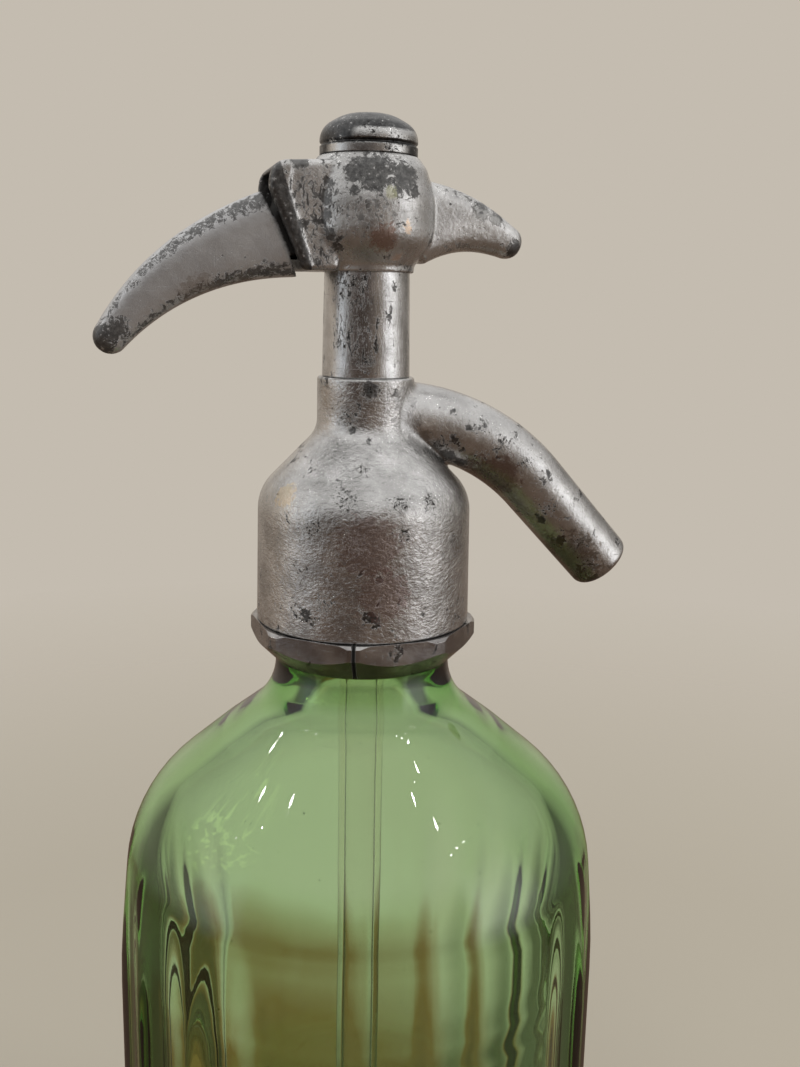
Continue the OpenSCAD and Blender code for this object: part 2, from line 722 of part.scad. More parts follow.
// Bar along X with the mouth's rounded section
module mouth_block(width, grow) {
    top = mouth_top_z + grow;
    low = mouth_low_z - grow;
    w = width / 2;
    translate([-2 * mouth_reach_top, 0, 0]) rotate([90, 0, 90]) linear_extrude(2 * mouth_reach_top)
        polygon(rounded([[-w, low, 1.4], [w, low, 1.4], [w, top, mouth_round], [-w, top, mouth_round]]));
}

module lever_housing() {
    color(pewter) difference() {
        union() {
            barrel_outer(0);
            mouth_shell();
        }
        cylinder_at(chamber_r, chamber_z, barrel_top_z + cut);
        cylinder_at(spigot_r + fit, column_top_z - cut, column_top_z + top_spigot_h + seat_gap);
        cylinder_at(column_top_r + fit, mouth_low_z - cut, column_top_z);
        cylinder_at(bore_r, column_top_z, chamber_z + cut);
        difference() {
            plate(mouth_in_w) polygon([
                [0, mouth_top_z - mouth_roof], [-2 * mouth_reach_top, mouth_top_z - mouth_roof],
                [-2 * mouth_reach_top, mouth_floor_z], [-chamber_r - mouth_sill, mouth_floor_z],
                [-chamber_r - mouth_sill, chamber_z], [0, chamber_z]]);
            translate([-fulcrum_x, 0, fulcrum_z]) rotate([90, 0, 0])
                cylinder(r = fulcrum_r, h = mouth_w, center = true);
        }
    }
}

module finger_horn() {
    root = [barrel_r - horn_depth, column_top_z + horn_root_h * horn_root_level];
    tip = [horn_reach - horn_tip_d / 2, column_top_z + horn_tip_h];
    color(pewter) difference() {
        arm_loft([root, root + horn_root_way, tip + horn_tip_way, tip],
            [horn_root_h * root_swell, horn_root_h * horn_waist, horn_tip_d / 2],
            [horn_root_w / 2, horn_root_w * horn_slim, horn_tip_d / 2], 24, 10);
        barrel_outer(seat_gap);
    }
}

// ---- cap ----

module top_cap() {
    color(pewter) difference() {
        union() {
            translate([0, 0, cap_z]) rotate_extrude() polygon(rounded([
                [0, 0, 0], [cap_r - 0.3, 0, 0.4], [cap_r, cap_h / 4, 1],
                [cap_r, cap_h - cap_dome, cap_round], [cap_r / 2, cap_h - 0.4, 8], [0, cap_h, 0]]));
            cylinder_at(chamber_r - screw_gap, barrel_top_z - skirt_h, cap_z + cut);
        }
        cylinder_at(cap_bore_d / 2, barrel_top_z - skirt_h - cut, cap_top_z - cap_roof);
    }
}

module cap_washer() color(leather)
    tube(barrel_top_d / 2 - 0.6, chamber_r, cap_washer_z, cap_washer_z + cap_washer_t);

// ---- lever ----

module lever() {
    root = [-fulcrum_x + fulcrum_r / 2, column_top_z + lever_root_h * lever_root_level];
    tip = [-lever_reach + lever_tip_d / 2, column_top_z - lever_tip_drop];
    nose = [0, nose_z];
    color(pewter) union() {
        // hand arm, cut square to the rim of the mouth
        difference() {
            arm_loft([root, root + lever_root_way, tip + lever_tip_way, tip],
                [lever_root_h * root_swell, lever_root_h * lever_waist, lever_tip_d / 2],
                [lever_root_w / 2, lever_root_w * lever_slim, lever_tip_d / 2], 28, 14);
            plate(body_r) polygon(concat([for (p = rim_line) [p[0] - lever_gap, p[1]]],
                [[-fulcrum_x, mouth_low_z] + heel_cut, [-fulcrum_x + toe_cut, lever_low_z],
                    [0, lever_low_z], [0, mouth_top_z + 2 * cut]]));
        }
        // hub in the mouth, with the groove that rocks on the edge
        difference() {
            plate(mouth_in_w - 2 * hub_gap) polygon(concat(
                [for (p = hub_outer) [-fulcrum_x, fulcrum_z] + p],
                [for (p = hub_inner) [-chamber_r, nose_z] + p]));
            translate([-fulcrum_x, 0, fulcrum_z]) rotate([90, 0, 0])
                cylinder(r = fulcrum_r + fulcrum_gap, h = mouth_w, center = true);
        }
        // tongue with a round nose in the piston's window
        plate(tongue_w) {
            translate(nose) circle(r = nose_r);
            polygon(concat([nose + [0, -nose_r * tongue_low], nose + [0, nose_r * tongue_top],
                nose + [-tongue_neck, nose_r * tongue_top]],
                [for (p = tongue_root) [-chamber_r, nose_z] + p]));
        }
    }
}

// ---- piston and valve ----

module piston_rod() {
    color(brass) difference() {
        union() {
            cylinder_at(holder_d / 2, holder_z, holder_z + holder_h);
            cylinder_at(rod_d / 2, holder_z + holder_h / 2, guide_z + cut);
            cylinder_at(bore_r - 2 * slide_gap, cup_bottom_z - seat_gap - collar_h, cup_bottom_z - seat_gap);
            cylinder_at(bore_r - slide_gap, guide_z, piston_top_z);
        }
        translate([0, 0, nose_z]) cube([2 * bore_r + cut, window_w, window_h], center = true);
        cylinder_at(screw_r + fit, holder_z - cut, holder_z + screw_len);
    }
}

module valve_washer() color(rubber)
    tube(valve_washer_d / 2, screw_r + fit, valve_z, valve_z + valve_washer_t);

module valve_screw() {
    color(brass) union() {
        cylinder_at(screw_r, valve_z - seat_gap - screw_head_h / 2, holder_z + screw_len - fit);
        difference() {
            cylinder_at(seat_bore_d / 2 - 0.5, valve_z - seat_gap - screw_head_h, valve_z - seat_gap);
            translate([0, 0, valve_z - seat_gap - screw_head_h])
                cube([seat_bore_d, 0.6, 0.8], center = true);
        }
    }
}

module cup_washer() {
    color(leather) difference() {
        cylinder_at(bore_r - slide_gap, cup_bottom_z, cup_bottom_z + cup_h);
        cylinder_at(rod_d / 2 + fit, cup_bottom_z - cut, cup_bottom_z + cup_h + cut);
        // hollow that lets the pressure spread the cup's lip
        difference() {
            cylinder_at(bore_r - 1.2, cup_bottom_z + cup_h / 2, cup_bottom_z + cup_h + cut);
            cylinder_at(nut_flats / 2, cup_bottom_z, cup_bottom_z + cup_h + 2 * cut);
        }
    }
}

module packing_nut() {
    color(brass) translate([0, 0, nut_z]) difference() {
        cylinder(r = nut_flats / 2 / cos(30), h = nut_h, $fn = 6);
        translate([0, 0, -cut]) cylinder(r = rod_d / 2 + fit, h = nut_h + 2 * cut);
    }
}

module spring_washer() color(brass)
    tube(cap_bore_d / 2 - 0.3, spring_d / 2 - wire_d, piston_top_z + seat_gap,
        piston_top_z + seat_gap + spring_washer_t);

// Helix of the return spring: 8 rings a turn, 6 sides
function coil_at(t) = [spring_d / 2 * cos(360 * t), spring_d / 2 * sin(360 * t),
    spring_z + wire_d / 2 + (spring_top_z - spring_z - wire_d) * t / spring_turns];

module return_spring() {
    rings = 8 * spring_turns;
    sides = 6;
    rise = (spring_top_z - spring_z - wire_d) / (PI * spring_d * spring_turns);
    gap = min([for (i = [0:rings - 5], j = [i + 5:min(rings, i + 11)])
        norm(coil_at(j / 8) - coil_at(i / 8))]) - wire_d;
    echo(least_gap_between_spring_turns = gap);
    color(brass) loft([for (i = [0:rings])
        let (t = i / 8, out = [cos(360 * t), sin(360 * t), 0],
            way = unit([-sin(360 * t), cos(360 * t), rise]), across = cross(way, out))
        [for (k = [0:sides - 1])
            let (a = -360 * k / sides)
            coil_at(t) + wire_d / 2 * (out * cos(a) + across * sin(a))]]);
}

glass_bottle();
split_ring_left();
split_ring_right();
neck_gasket();
tube_holder();
head_gasket();
tube_sleeve();
dip_tube();
head_bell();
spout();
valve_seat();
column_tube();
lever_housing();
finger_horn();
top_cap();
cap_washer();
lever();
piston_rod();
valve_washer();
valve_screw();
cup_washer();
packing_nut();
spring_washer();
return_spring();
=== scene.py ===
import math

import bmesh
import bpy
from mathutils import Matrix, Vector
from mathutils.kdtree import KDTree


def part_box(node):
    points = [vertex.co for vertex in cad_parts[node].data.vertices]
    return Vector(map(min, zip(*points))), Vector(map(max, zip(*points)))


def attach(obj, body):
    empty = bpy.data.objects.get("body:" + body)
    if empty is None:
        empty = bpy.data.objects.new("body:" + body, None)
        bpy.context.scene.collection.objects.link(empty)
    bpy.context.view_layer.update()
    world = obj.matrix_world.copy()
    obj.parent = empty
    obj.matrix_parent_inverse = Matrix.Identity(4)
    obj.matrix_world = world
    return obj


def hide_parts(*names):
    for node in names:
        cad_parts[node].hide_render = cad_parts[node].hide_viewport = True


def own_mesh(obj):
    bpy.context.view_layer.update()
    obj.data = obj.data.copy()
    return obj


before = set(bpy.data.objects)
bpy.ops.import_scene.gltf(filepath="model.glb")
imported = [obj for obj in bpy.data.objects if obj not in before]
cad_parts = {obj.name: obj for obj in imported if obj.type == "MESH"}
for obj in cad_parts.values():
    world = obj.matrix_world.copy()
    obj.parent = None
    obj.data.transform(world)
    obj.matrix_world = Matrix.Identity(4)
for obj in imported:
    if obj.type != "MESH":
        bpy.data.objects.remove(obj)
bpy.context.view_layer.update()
mm = 0.001
print("frame loaded:", len(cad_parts), "CAD nodes")


# small helpers for modelling

def pickNone():
    bpy.ops.object.select_all(action="DESELECT")


def pickOnly(piece):
    pickNone()
    piece.select_set(True)
    bpy.context.view_layer.objects.active = piece


def editAll():
    bpy.ops.object.mode_set(mode="EDIT")
    bpy.ops.mesh.select_all(action="SELECT")


def leaveEdit():
    bpy.ops.object.mode_set(mode="OBJECT")


def points(pairs):
    return [Vector(pair) for pair in pairs]


def roundedLine(corners, step=9, closed=True):
    # corners are (radius, height, rounding) in mm, the rounding is optional
    line = []
    count = len(corners)
    for i, corner in enumerate(corners):
        here = Vector(corner[:2])
        rounding = corner[2] if len(corner) > 2 else 0
        if not rounding or (not closed and i in (0, count - 1)):
            line.append(here)
            continue
        back = (Vector(corners[i - 1][:2]) - here).normalized()
        ahead = (Vector(corners[(i + 1) % count][:2]) - here).normalized()
        half = back.angle(ahead) / 2
        middle = here + (back + ahead).normalized() * rounding / math.sin(half)
        start = here + back * rounding / math.tan(half) - middle
        end = here + ahead * rounding / math.tan(half) - middle
        turn = math.pi - 2 * half
        way = 1 if start.x * end.y - start.y * end.x > 0 else -1
        parts = max(2, math.ceil(math.degrees(turn) / step))
        for k in range(parts + 1):
            angle = way * turn * k / parts
            c, s = math.cos(angle), math.sin(angle)
            line.append(middle + Vector((start.x * c - start.y * s, start.x * s + start.y * c)))
    return line


def splitLong(line, longest):
    # extra points on long straight stretches
    out = []
    for here, there in zip(line, line[1:] + line[:1]):
        parts = max(1, math.ceil((there - here).length / longest))
        out += [here.lerp(there, k / parts) for k in range(parts)]
    return out


def settle(piece, smoothAngle=None):
    # place and turn go into the mesh, doubles merged, normals outwards
    pickOnly(piece)
    bpy.ops.object.transform_apply(location=True, rotation=True, scale=True)
    editAll()
    bpy.ops.mesh.remove_doubles(threshold=2e-6)
    bpy.ops.mesh.normals_make_consistent(inside=False)
    leaveEdit()
    if smoothAngle is None:
        bpy.ops.object.shade_smooth()
    else:
        bpy.ops.object.shade_smooth_by_angle(angle=math.radians(smoothAngle))
    return piece


def turned(name, line, sides, smoothAngle=40):
    # one vertex is extruded along the profile, which is then spun round the axis
    pickNone()
    bpy.ops.mesh.primitive_plane_add(size=mm, location=(line[0].x * mm, 0, line[0].y * mm))
    piece = bpy.context.object
    piece.name = name
    editAll()
    bpy.ops.mesh.merge(type="CENTER")
    for here, there in zip(line, line[1:] + line[:1]):
        step = ((there.x - here.x) * mm, 0, (there.y - here.y) * mm)
        bpy.ops.mesh.extrude_region_move(TRANSFORM_OT_translate={"value": step})
    bpy.ops.mesh.select_all(action="SELECT")
    bpy.ops.mesh.spin(steps=sides, angle=2 * math.pi, center=(0, 0, 0), axis=(0, 0, 1))
    leaveEdit()
    return settle(piece, smoothAngle)


def lofted(name, rings, smoothAngle=60):
    # a circle is extruded ring by ring; the ends close on a point
    count = len(rings[0])
    pickNone()
    bpy.ops.mesh.primitive_circle_add(vertices=count, radius=mm, fill_type="NOTHING")
    piece = bpy.context.object
    piece.name = name
    bpy.ops.object.mode_set(mode="EDIT")
    shape = bmesh.from_edit_mesh(piece.data)
    order = shape.verts.layers.int.new("order")
    shape.verts.ensure_lookup_table()
    for i, vert in enumerate(shape.verts):
        vert[order] = i
        vert.co = rings[0][i] * mm
        vert.select_set(True)
    bmesh.update_edit_mesh(piece.data)
    bpy.ops.mesh.select_all(action="SELECT")
    for ring in rings[1:]:
        bpy.ops.mesh.extrude_region_move(TRANSFORM_OT_translate={"value": (0, 0, 0)})
        shape = bmesh.from_edit_mesh(piece.data)
        order = shape.verts.layers.int["order"]
        for vert in shape.verts:
            if vert.select:
                vert.co = ring[vert[order]] * mm
        bmesh.update_edit_mesh(piece.data)
    leaveEdit()
    return settle(piece, smoothAngle)


def plate(name, line, width, bevel=0):
    # an outline in the XZ plane, filled and extruded across Y
    pickNone()
    bpy.ops.mesh.primitive_circle_add(vertices=len(line), radius=mm, fill_type="NGON")
    piece = bpy.context.object
    piece.name = name
    bpy.ops.object.mode_set(mode="EDIT")
    shape = bmesh.from_edit_mesh(piece.data)
    shape.verts.ensure_lookup_table()
    for vert, place in zip(list(shape.verts), line):
        vert.co = Vector((place.x, -width / 2, place.y)) * mm
    bmesh.update_edit_mesh(piece.data)
    bpy.ops.mesh.select_all(action="SELECT")
    bpy.ops.mesh.extrude_region_move(TRANSFORM_OT_translate={"value": (0, width * mm, 0)})
    leaveEdit()
    settle(piece, 40)
    if bevel:
        addBevel(piece, bevel, 4, 50)
        applyAll(piece)
    return piece


def addBevel(piece, width, segments, fromAngle):
    rounding = piece.modifiers.new("rounding", "BEVEL")
    rounding.width = width * mm
    rounding.segments = segments
    rounding.limit_method = "ANGLE"
    rounding.angle_limit = math.radians(fromAngle)
    return rounding


def applyAll(piece):
    pickOnly(piece)
    for modifier in list(piece.modifiers):
        bpy.ops.object.modifier_apply(modifier=modifier.name)


def combine(piece, other, operation):
    joint = piece.modifiers.new(operation.lower(), "BOOLEAN")
    joint.operation = operation
    joint.solver = "EXACT"
    joint.object = other
    applyAll(piece)
    bpy.data.objects.remove(other, do_unlink=True)
    return piece


def remeshed(piece, voxel, rounds, factor=0.5):
    # one even skin over the joined forms, softened like a casting
    skin = piece.modifiers.new("skin", "REMESH")
    skin.mode = "VOXEL"
    skin.voxel_size = voxel * mm
    soften = piece.modifiers.new("soften", "SMOOTH")
    soften.factor = factor
    soften.iterations = rounds
    applyAll(piece)
    pickOnly(piece)
    bpy.ops.object.shade_smooth()
    return piece


def bezier(corners, t):
    p0, p1, p2, p3 = corners
    s = 1 - t
    return p0 * s ** 3 + p1 * (3 * s * s * t) + p2 * (3 * s * t * t) + p3 * t ** 3


def blendOf(values, t):
    return values[0] * (1 - t) ** 2 + 2 * values[1] * t * (1 - t) + values[2] * t * t


def armRings(path, heights, widths, rings, count, power=(3, 2), tipRings=9):
    # oval rings along a curve in the XZ plane, square-ish at the root and round at the tip
    out = []

    def ring(middle, way, high, wide, square):
        up = Vector((-way.y, way.x))
        row = []
        for k in range(count):
            angle = 2 * math.pi * k / count
            c, s = math.cos(angle), math.sin(angle)
            a = math.copysign(abs(c) ** (2 / square), c) * high
            b = math.copysign(abs(s) ** (2 / square), s) * wide
            row.append(Vector((middle.x + up.x * a, b, middle.y + up.y * a)))
        return row

    def at(t):
        here = bezier(path, t)
        near = bezier(path, min(1, t + 0.001)) - bezier(path, max(0, t - 0.001))
        return here, near.normalized()

    root, way = at(0)
    out.append([Vector((root.x, 0, root.y))] * count)
    for i in range(rings + 1):
        t = i / rings
        middle, way = at(t)
        square = power[0] + (power[1] - power[0]) * t
        out.append(ring(middle, way, blendOf(heights, t), blendOf(widths, t), square))
    for i in range(1, tipRings):
        angle = math.pi / 2 * i / tipRings
        middle = armEnd(path, way, heights[2] * math.sin(angle))
        shrink = math.cos(angle)
        out.append(ring(middle, way, heights[2] * shrink, widths[2] * shrink, power[1]))
    end = armEnd(path, way, heights[2])
    out.append([Vector((end.x, 0, end.y))] * count)
    return out


def armEnd(path, way, reach):
    return path[3] + way * reach


def markEdges(piece, path, heights, widths, fromX=None):
    # writes how near each point is to the long edges of a curved arm
    path = points(path)
    marks = piece.data.attributes.new("edgeMark", "FLOAT", "POINT")
    count = 160
    near = KDTree(count + 1)
    for i in range(count + 1):
        here = bezier(path, i / count)
        near.insert((here.x, 0, here.y), i)
    near.balance()
    for i, vert in enumerate(piece.data.vertices):
        place = vert.co / mm
        if fromX is not None and place.x < fromX:
            continue
        k = near.find((place.x, 0, place.z))[1]
        t = k / count
        here = bezier(path, t)
        way = (bezier(path, min(1, t + 0.01)) - bezier(path, max(0, t - 0.01))).normalized()
        rise = (Vector((place.x, place.z)) - here).dot(Vector((-way.y, way.x)))
        marks.data[i].value = abs(rise / blendOf(heights, t) * place.y / blendOf(widths, t))


# small helpers for materials

# the helpers below add their nodes to the tree that is being made
making = {}


def newMaterial(name):
    made = bpy.data.materials.new(name)
    made.use_nodes = True
    making["tree"] = made.node_tree
    return made, made.node_tree.nodes["Principled BSDF"]


def node(kind, inputs=None, **settings):
    made = making["tree"].nodes.new(kind)
    for key, value in settings.items():
        setattr(made, key, value)
    return fill(made, inputs or {})


def fill(made, inputs):
    # a socket is linked, a number or colour is set
    for key, value in inputs.items():
        if isinstance(value, bpy.types.NodeSocket):
            making["tree"].links.new(value, made.inputs[key])
        else:
            made.inputs[key].default_value = value
    return made


def math2(operation, a, b=0.0, clamp=False):
    return node("ShaderNodeMath", {0: a, 1: b}, operation=operation, use_clamp=clamp).outputs[0]


def times(a, b):
    return math2("MULTIPLY", a, b)


def plus(a, b, clamp=False):
    return math2("ADD", a, b, clamp)


def larger(a, b):
    return math2("MAXIMUM", a, b)


def centred(value):
    return math2("SUBTRACT", value, 0.5)


def without(value, part):
    # value is taken away where part is 1
    return times(value, math2("SUBTRACT", 1.0, part))


def distance(where, place):
    return node("ShaderNodeVectorMath", {0: where, 1: place}, operation="DISTANCE").outputs[1]


def dot(where, way):
    return node("ShaderNodeVectorMath", {0: where, 1: way}, operation="DOT_PRODUCT").outputs[1]


def mix(factor, a, b):
    a, b = (c if isinstance(c, bpy.types.NodeSocket) else (*c, 1) for c in (a, b))
    return node("ShaderNodeMix", {0: factor, 6: a, 7: b}, data_type="RGBA").outputs[2]


def relief(height):
    # the height is in mm
    return node("ShaderNodeBump", {"Height": height, "Distance": mm, "Strength": 1.0}).outputs[0]


def stretch(value, low, high, to=(0.0, 1.0)):
    return node("ShaderNodeMapRange", {0: value, 1: low, 2: high, 3: to[0], 4: to[1]}).outputs[0]


def places(scale=(1, 1, 1), turn=(0, 0, 0), shift=(0, 0, 0)):
    # Object coordinates in mm
    coords = node("ShaderNodeTexCoord").outputs["Object"]
    scale = tuple(1000 * s for s in scale)
    return node("ShaderNodeMapping", {0: coords, 1: shift, 2: turn, 3: scale}).outputs[0]


def noise(where, scale, detail=3, rough=0.5, distortion=0):
    return node("ShaderNodeTexNoise", {"Vector": where, "Scale": scale, "Detail": detail,
                                             "Roughness": rough, "Distortion": distortion}).outputs[0]


def spotAt(where, place, radius, wobble, reach=3.4):
    # a patch round a place in mm, its border made ragged by a noise
    far = distance(where, place)
    ragged = plus(far, times(wobble, -radius * reach))
    return stretch(ragged, radius * 1.08, radius * 0.92)


def zone(where, masks):
    # a part of the piece between planes; each mask is (direction, from, to)
    # "y" stands for the distance from y = 0
    total = None
    for direction, low, high in masks:
        if direction == "y":
            far = math2("ABSOLUTE", node("ShaderNodeSeparateXYZ", {0: where}).outputs[1])
        else:
            far = dot(where, direction)
        part = stretch(far, low, high)
        total = part if total is None else times(total, part)
    return total


# near-black painted shade for hollows and narrow gaps
paintedShadeColour = (0.006, 0.0055, 0.005)


def wornMetal(name, look):
    # light worn plating with dark tarnish showing through, pits, scratches and the relief of a casting
    made, shader = newMaterial(name)
    where = places()
    patches = places(look["patchStretch"], look["patchTurn"])
    cloud = noise(patches, look["patchScale"], 9, 0.64, 0.5)
    border = centred(noise(where, 1.5, 6, 0.7))
    ragged = plus(cloud, times(border, 0.3))
    tarnish = stretch(ragged, look["patchFrom"], look["patchFrom"] + look["patchSoft"])
    wobble = centred(noise(where, look["raggedScale"], 9, 0.76, 0.8))
    shake = centred(noise(where, 0.9, 6, 0.7))
    shaken = node("ShaderNodeVectorMath", {0: where, 1: shake}, operation="ADD").outputs[0]

    def blobs(key):
        for place, radius, *rest in look.get(key, ()):
            yield (spotAt(where, place, radius, wobble), *rest)

    for blob, amount in blobs("brightSpots"):
        tarnish = without(tarnish, times(blob, amount))
    # painted light: tarnish is taken off in bands on one side, where a highlight falls
    for masks in look.get("paintedLightBands", ()):
        tarnish = without(tarnish, times(zone(shaken, masks), 0.95))
    for blob, amount in blobs("darkSpots"):
        tarnish = larger(tarnish, times(blob, amount))
    cracks = noise(places(look["crackStretch"], look["crackTurn"]), 1.0, 5, 0.62, 0.8)
    cracks = stretch(cracks, 0.535, 0.565)
    for blob, amount in blobs("crackSpots"):
        tarnish = larger(tarnish, times(times(blob, cracks), amount))
    for masks in look.get("bands", ()):
        tarnish = larger(tarnish, zone(shaken, masks))
    if look.get("edges"):
        mark = node("ShaderNodeAttribute", attribute_name="edgeMark").outputs["Fac"]
        mark = plus(mark, times(wobble, 1.1))
        mark = stretch(mark, look["edges"], look["edges"] + 0.06)
        tarnish = larger(tarnish, times(mark, 0.9))
    islands = noise(where, 1.1, 5, 0.62)
    tarnish = times(tarnish, stretch(islands, 0.66, 0.63))
    crowd = 0.0
    for place, radius in look.get("pitSpots", ()):
        far = distance(where, place)
        crowd = larger(crowd, stretch(far, radius, 0.2 * radius, (0.0, 0.12)))
    blots = plus(noise(where, look["pitScale"], 5, 0.72, 0.3), crowd)
    blots = stretch(blots, look["pitFrom"], look["pitFrom"] + 0.03)
    specks = plus(noise(where, 3.2, 4, 0.7), crowd)
    specks = stretch(specks, look["speckFrom"], look["speckFrom"] + 0.04)
    dark = larger(blots, times(specks, 0.8))
    scratchA = noise(places((0.22, 0.22, 5), (0.5, 0.35, 0.2)), 1.0, 3, 0.6)
    scratchB = noise(places((5, 0.2, 0.3), (0.1, 0.8, 0.9)), 1.0, 3, 0.6)
    scratches = larger(stretch(scratchA, 0.67, 0.7), stretch(scratchB, 0.68, 0.7))
    shade = stretch(noise(where, 0.13, 4, 0.55), 0.38, 0.62)
    light = mix(shade, look["plating"], look["platingShade"])
    grain = stretch(noise(where, 4.0, 5, 0.75), 0.3, 0.7)
    light = mix(times(grain, 0.45), light, look["grain"])
    under = mix(stretch(islands, 0.4, 0.6), look["tarnish"], look["tarnishShade"])
    colour = mix(tarnish, light, under)
    colour = mix(times(dark, 0.94), colour, look["pit"])
    colour = mix(times(scratches, 0.4), colour, look["scratch"])
    # patches of another colour: some are real stains, others are painted highlights, painted reflections
    # and painted shade
    for blob, stainAndLightTint, amount in blobs("stainsAndPaintedLight"):
        colour = mix(times(blob, amount), colour, stainAndLightTint)
    rough = stretch(noise(where, 0.5, 5, 0.6), 0.3, 0.7, look["roughness"])
    rough = plus(rough, times(tarnish, look["tarnishRough"]))
    rough = plus(rough, times(dark, 0.3), clamp=True)
    metal = look["metal"]
    # painted shade: zones in hollows and gaps are made near-black and not metallic
    if look.get("paintedShade"):
        paintedShadeZone = zone(shaken, look["paintedShade"])
        colour = mix(paintedShadeZone, colour, paintedShadeColour)
        metal = stretch(paintedShadeZone, 0.0, 1.0, (metal, 0.0))
        rough = larger(rough, times(paintedShadeZone, 0.8))
    # relief: soft casting waves, fine wrinkles, grain, pits
    height = times(noise(where, look["waveScale"], 2, 0.5), look["waveHeight"])
    wrinkles = noise(places(look["wrinkle"]), 1.0, 4, 0.6, 0.8)
    for part, amount in ((wrinkles, look["wrinkleHeight"]), (grain, look["grainHeight"]), (dark, -0.1),
                         (scratches, -0.012), (tarnish, -0.03)):
        height = plus(height, times(part, amount))
    fill(shader, {"Base Color": colour, "Metallic": metal, "Roughness": rough,
                        "Normal": relief(height)})
    return made


def dress(piece, material):
    piece.data.materials.clear()
    piece.data.materials.append(material)


# camera

view = {
    "turn": 13.0, "distance": 0.243, "height": 0.2747, "yaw": 1.88, "pitch": 11.7, "roll": 1.15,
    "focal": 1131 * 36 / 1067}


def placeCamera():
    turn, yaw, pitch, roll = (math.radians(view[k]) for k in ("turn", "yaw", "pitch", "roll"))
    eye = Vector((-view["distance"] * math.sin(turn), -view["distance"] * math.cos(turn), view["height"]))
    ahead = Vector((math.sin(turn), math.cos(turn), 0))
    right = Vector((math.cos(turn), -math.sin(turn), 0))
    up = Vector((0, 0, 1))
    ahead, right = (ahead * math.cos(yaw) + right * math.sin(yaw),
                    right * math.cos(yaw) - ahead * math.sin(yaw))
    ahead, up = (ahead * math.cos(pitch) - up * math.sin(pitch),
                 up * math.cos(pitch) + ahead * math.sin(pitch))
    right, up = (right * math.cos(roll) + up * math.sin(roll),
                 up * math.cos(roll) - right * math.sin(roll))
    lens = bpy.data.cameras.new("camera")
    camera = bpy.data.objects.new("camera", lens)
    bpy.context.scene.collection.objects.link(camera)
    camera.matrix_world = Matrix.Translation(eye) @ Matrix((right, up, -ahead)).transposed().to_4x4()
    lens.sensor_fit = "VERTICAL"
    lens.sensor_height = 36
    lens.lens = view["focal"]
    lens.clip_start = 0.01
    lens.dof.use_dof = False
    bpy.context.scene.camera = camera


placeCamera()


# room, floor and lamps

roomLook = {
    "wall": (0.552, 0.503, 0.434),
    # degrees from the direction towards the camera, positive to the right in the picture
    "stops": [(-180, (0.56, 0.5, 0.43)), (-146, (0.56, 0.5, 0.43)), (-112, (0.5, 0.43, 0.36)),
              (-88, (0.88, 0.78, 0.66)), (-72, (1.15, 1.22, 1.3)), (-62, (1.1, 1.18, 1.25)),
              (-52, (0.3, 0.26, 0.23)), (-34, (0.065, 0.045, 0.038)), (2, (0.045, 0.03, 0.025)),
              (14, (0.13, 0.1, 0.085)), (32, (0.32, 0.26, 0.21)), (50, (0.4, 0.34, 0.29)),
              (58, (2.2, 2.2, 2.25)), (80, (1.9, 1.88, 1.85)), (94, (0.56, 0.52, 0.48)),
              (122, (0.28, 0.25, 0.22)), (138, (0.12, 0.11, 0.1)), (154, (0.54, 0.48, 0.41)),
              (180, (0.56, 0.5, 0.43))],
    "ceiling": (1.02, 1.01, 1.0),
    "ground": (0.15, 0.1, 0.07),
    # seen through the glass: the wall, a brown table low down, a dark band to each side, a window
    "table": (0.27, 0.145, 0.06),
    "dim": (0.035, 0.04, 0.025),
    "window": ((-0.8, 0.25, 0.5), (2.8, 2.8, 1.7)),
}


def makeRoom():
    world = bpy.data.worlds.new("room")
    bpy.context.scene.world = world
    world.use_nodes = True
    world.node_tree.nodes.clear()
    making["tree"] = world.node_tree
    turn = math.radians(view["turn"])
    where = node("ShaderNodeTexCoord").outputs["Generated"]
    across = dot(where, (math.cos(turn), -math.sin(turn), 0))
    towards = dot(where, (-math.sin(turn), -math.cos(turn), 0))
    angle = math2("ARCTAN2", across, towards)
    share = stretch(angle, -math.pi, math.pi)
    ramp = node("ShaderNodeValToRGB", {0: share})
    stops = roomLook["stops"]
    elements = ramp.color_ramp.elements
    elements[0].position, elements[1].position = 0.0, 1.0
    for degrees, colour in stops[1:-1]:
        elements.new((degrees + 180) / 360)
    for element, (degrees, colour) in zip(sorted(elements, key=lambda e: e.position), stops):
        element.color = (*colour, 1)
    rise = node("ShaderNodeSeparateXYZ", {0: where}).outputs[2]
    around = mix(stretch(rise, 0.22, 0.6), ramp.outputs[0], roomLook["ceiling"])
    around = mix(stretch(rise, -0.05, -0.35), around, roomLook["ground"])
    seen = node("ShaderNodeLightPath")
    uneven = centred(noise(where, 4.0, 2, 0.5))
    low = plus(rise, times(across, 0.22))
    low = plus(low, times(uneven, 0.12))
    dimmed = times(seen.outputs["Is Diffuse Ray"], 0.18)
    around = mix(dimmed, around, (0.02, 0.02, 0.02))
    behind = mix(stretch(low, -0.515, -0.6), roomLook["wall"], roomLook["table"])
    sides = times(stretch(towards, -0.12, -0.28), stretch(towards, -0.84, -0.7))
    behind = mix(times(sides, 0.9), behind, roomLook["dim"])
    centre, bright = roomLook["window"]
    facing = dot(where, Vector(centre).normalized())
    streaks = stretch(noise(where, 13, 2, 0.6), 0.54, 0.6)
    behind = mix(times(streaks, stretch(facing, 0.92, 0.96)), behind, bright)
    shown = mix(seen.outputs["Is Transmission Ray"], around, behind)
    shown = mix(seen.outputs["Is Camera Ray"], shown, roomLook["wall"])
    glow = node("ShaderNodeBackground", {0: shown, 1: 1.0})
    node("ShaderNodeOutputWorld", {0: glow.outputs[0]})


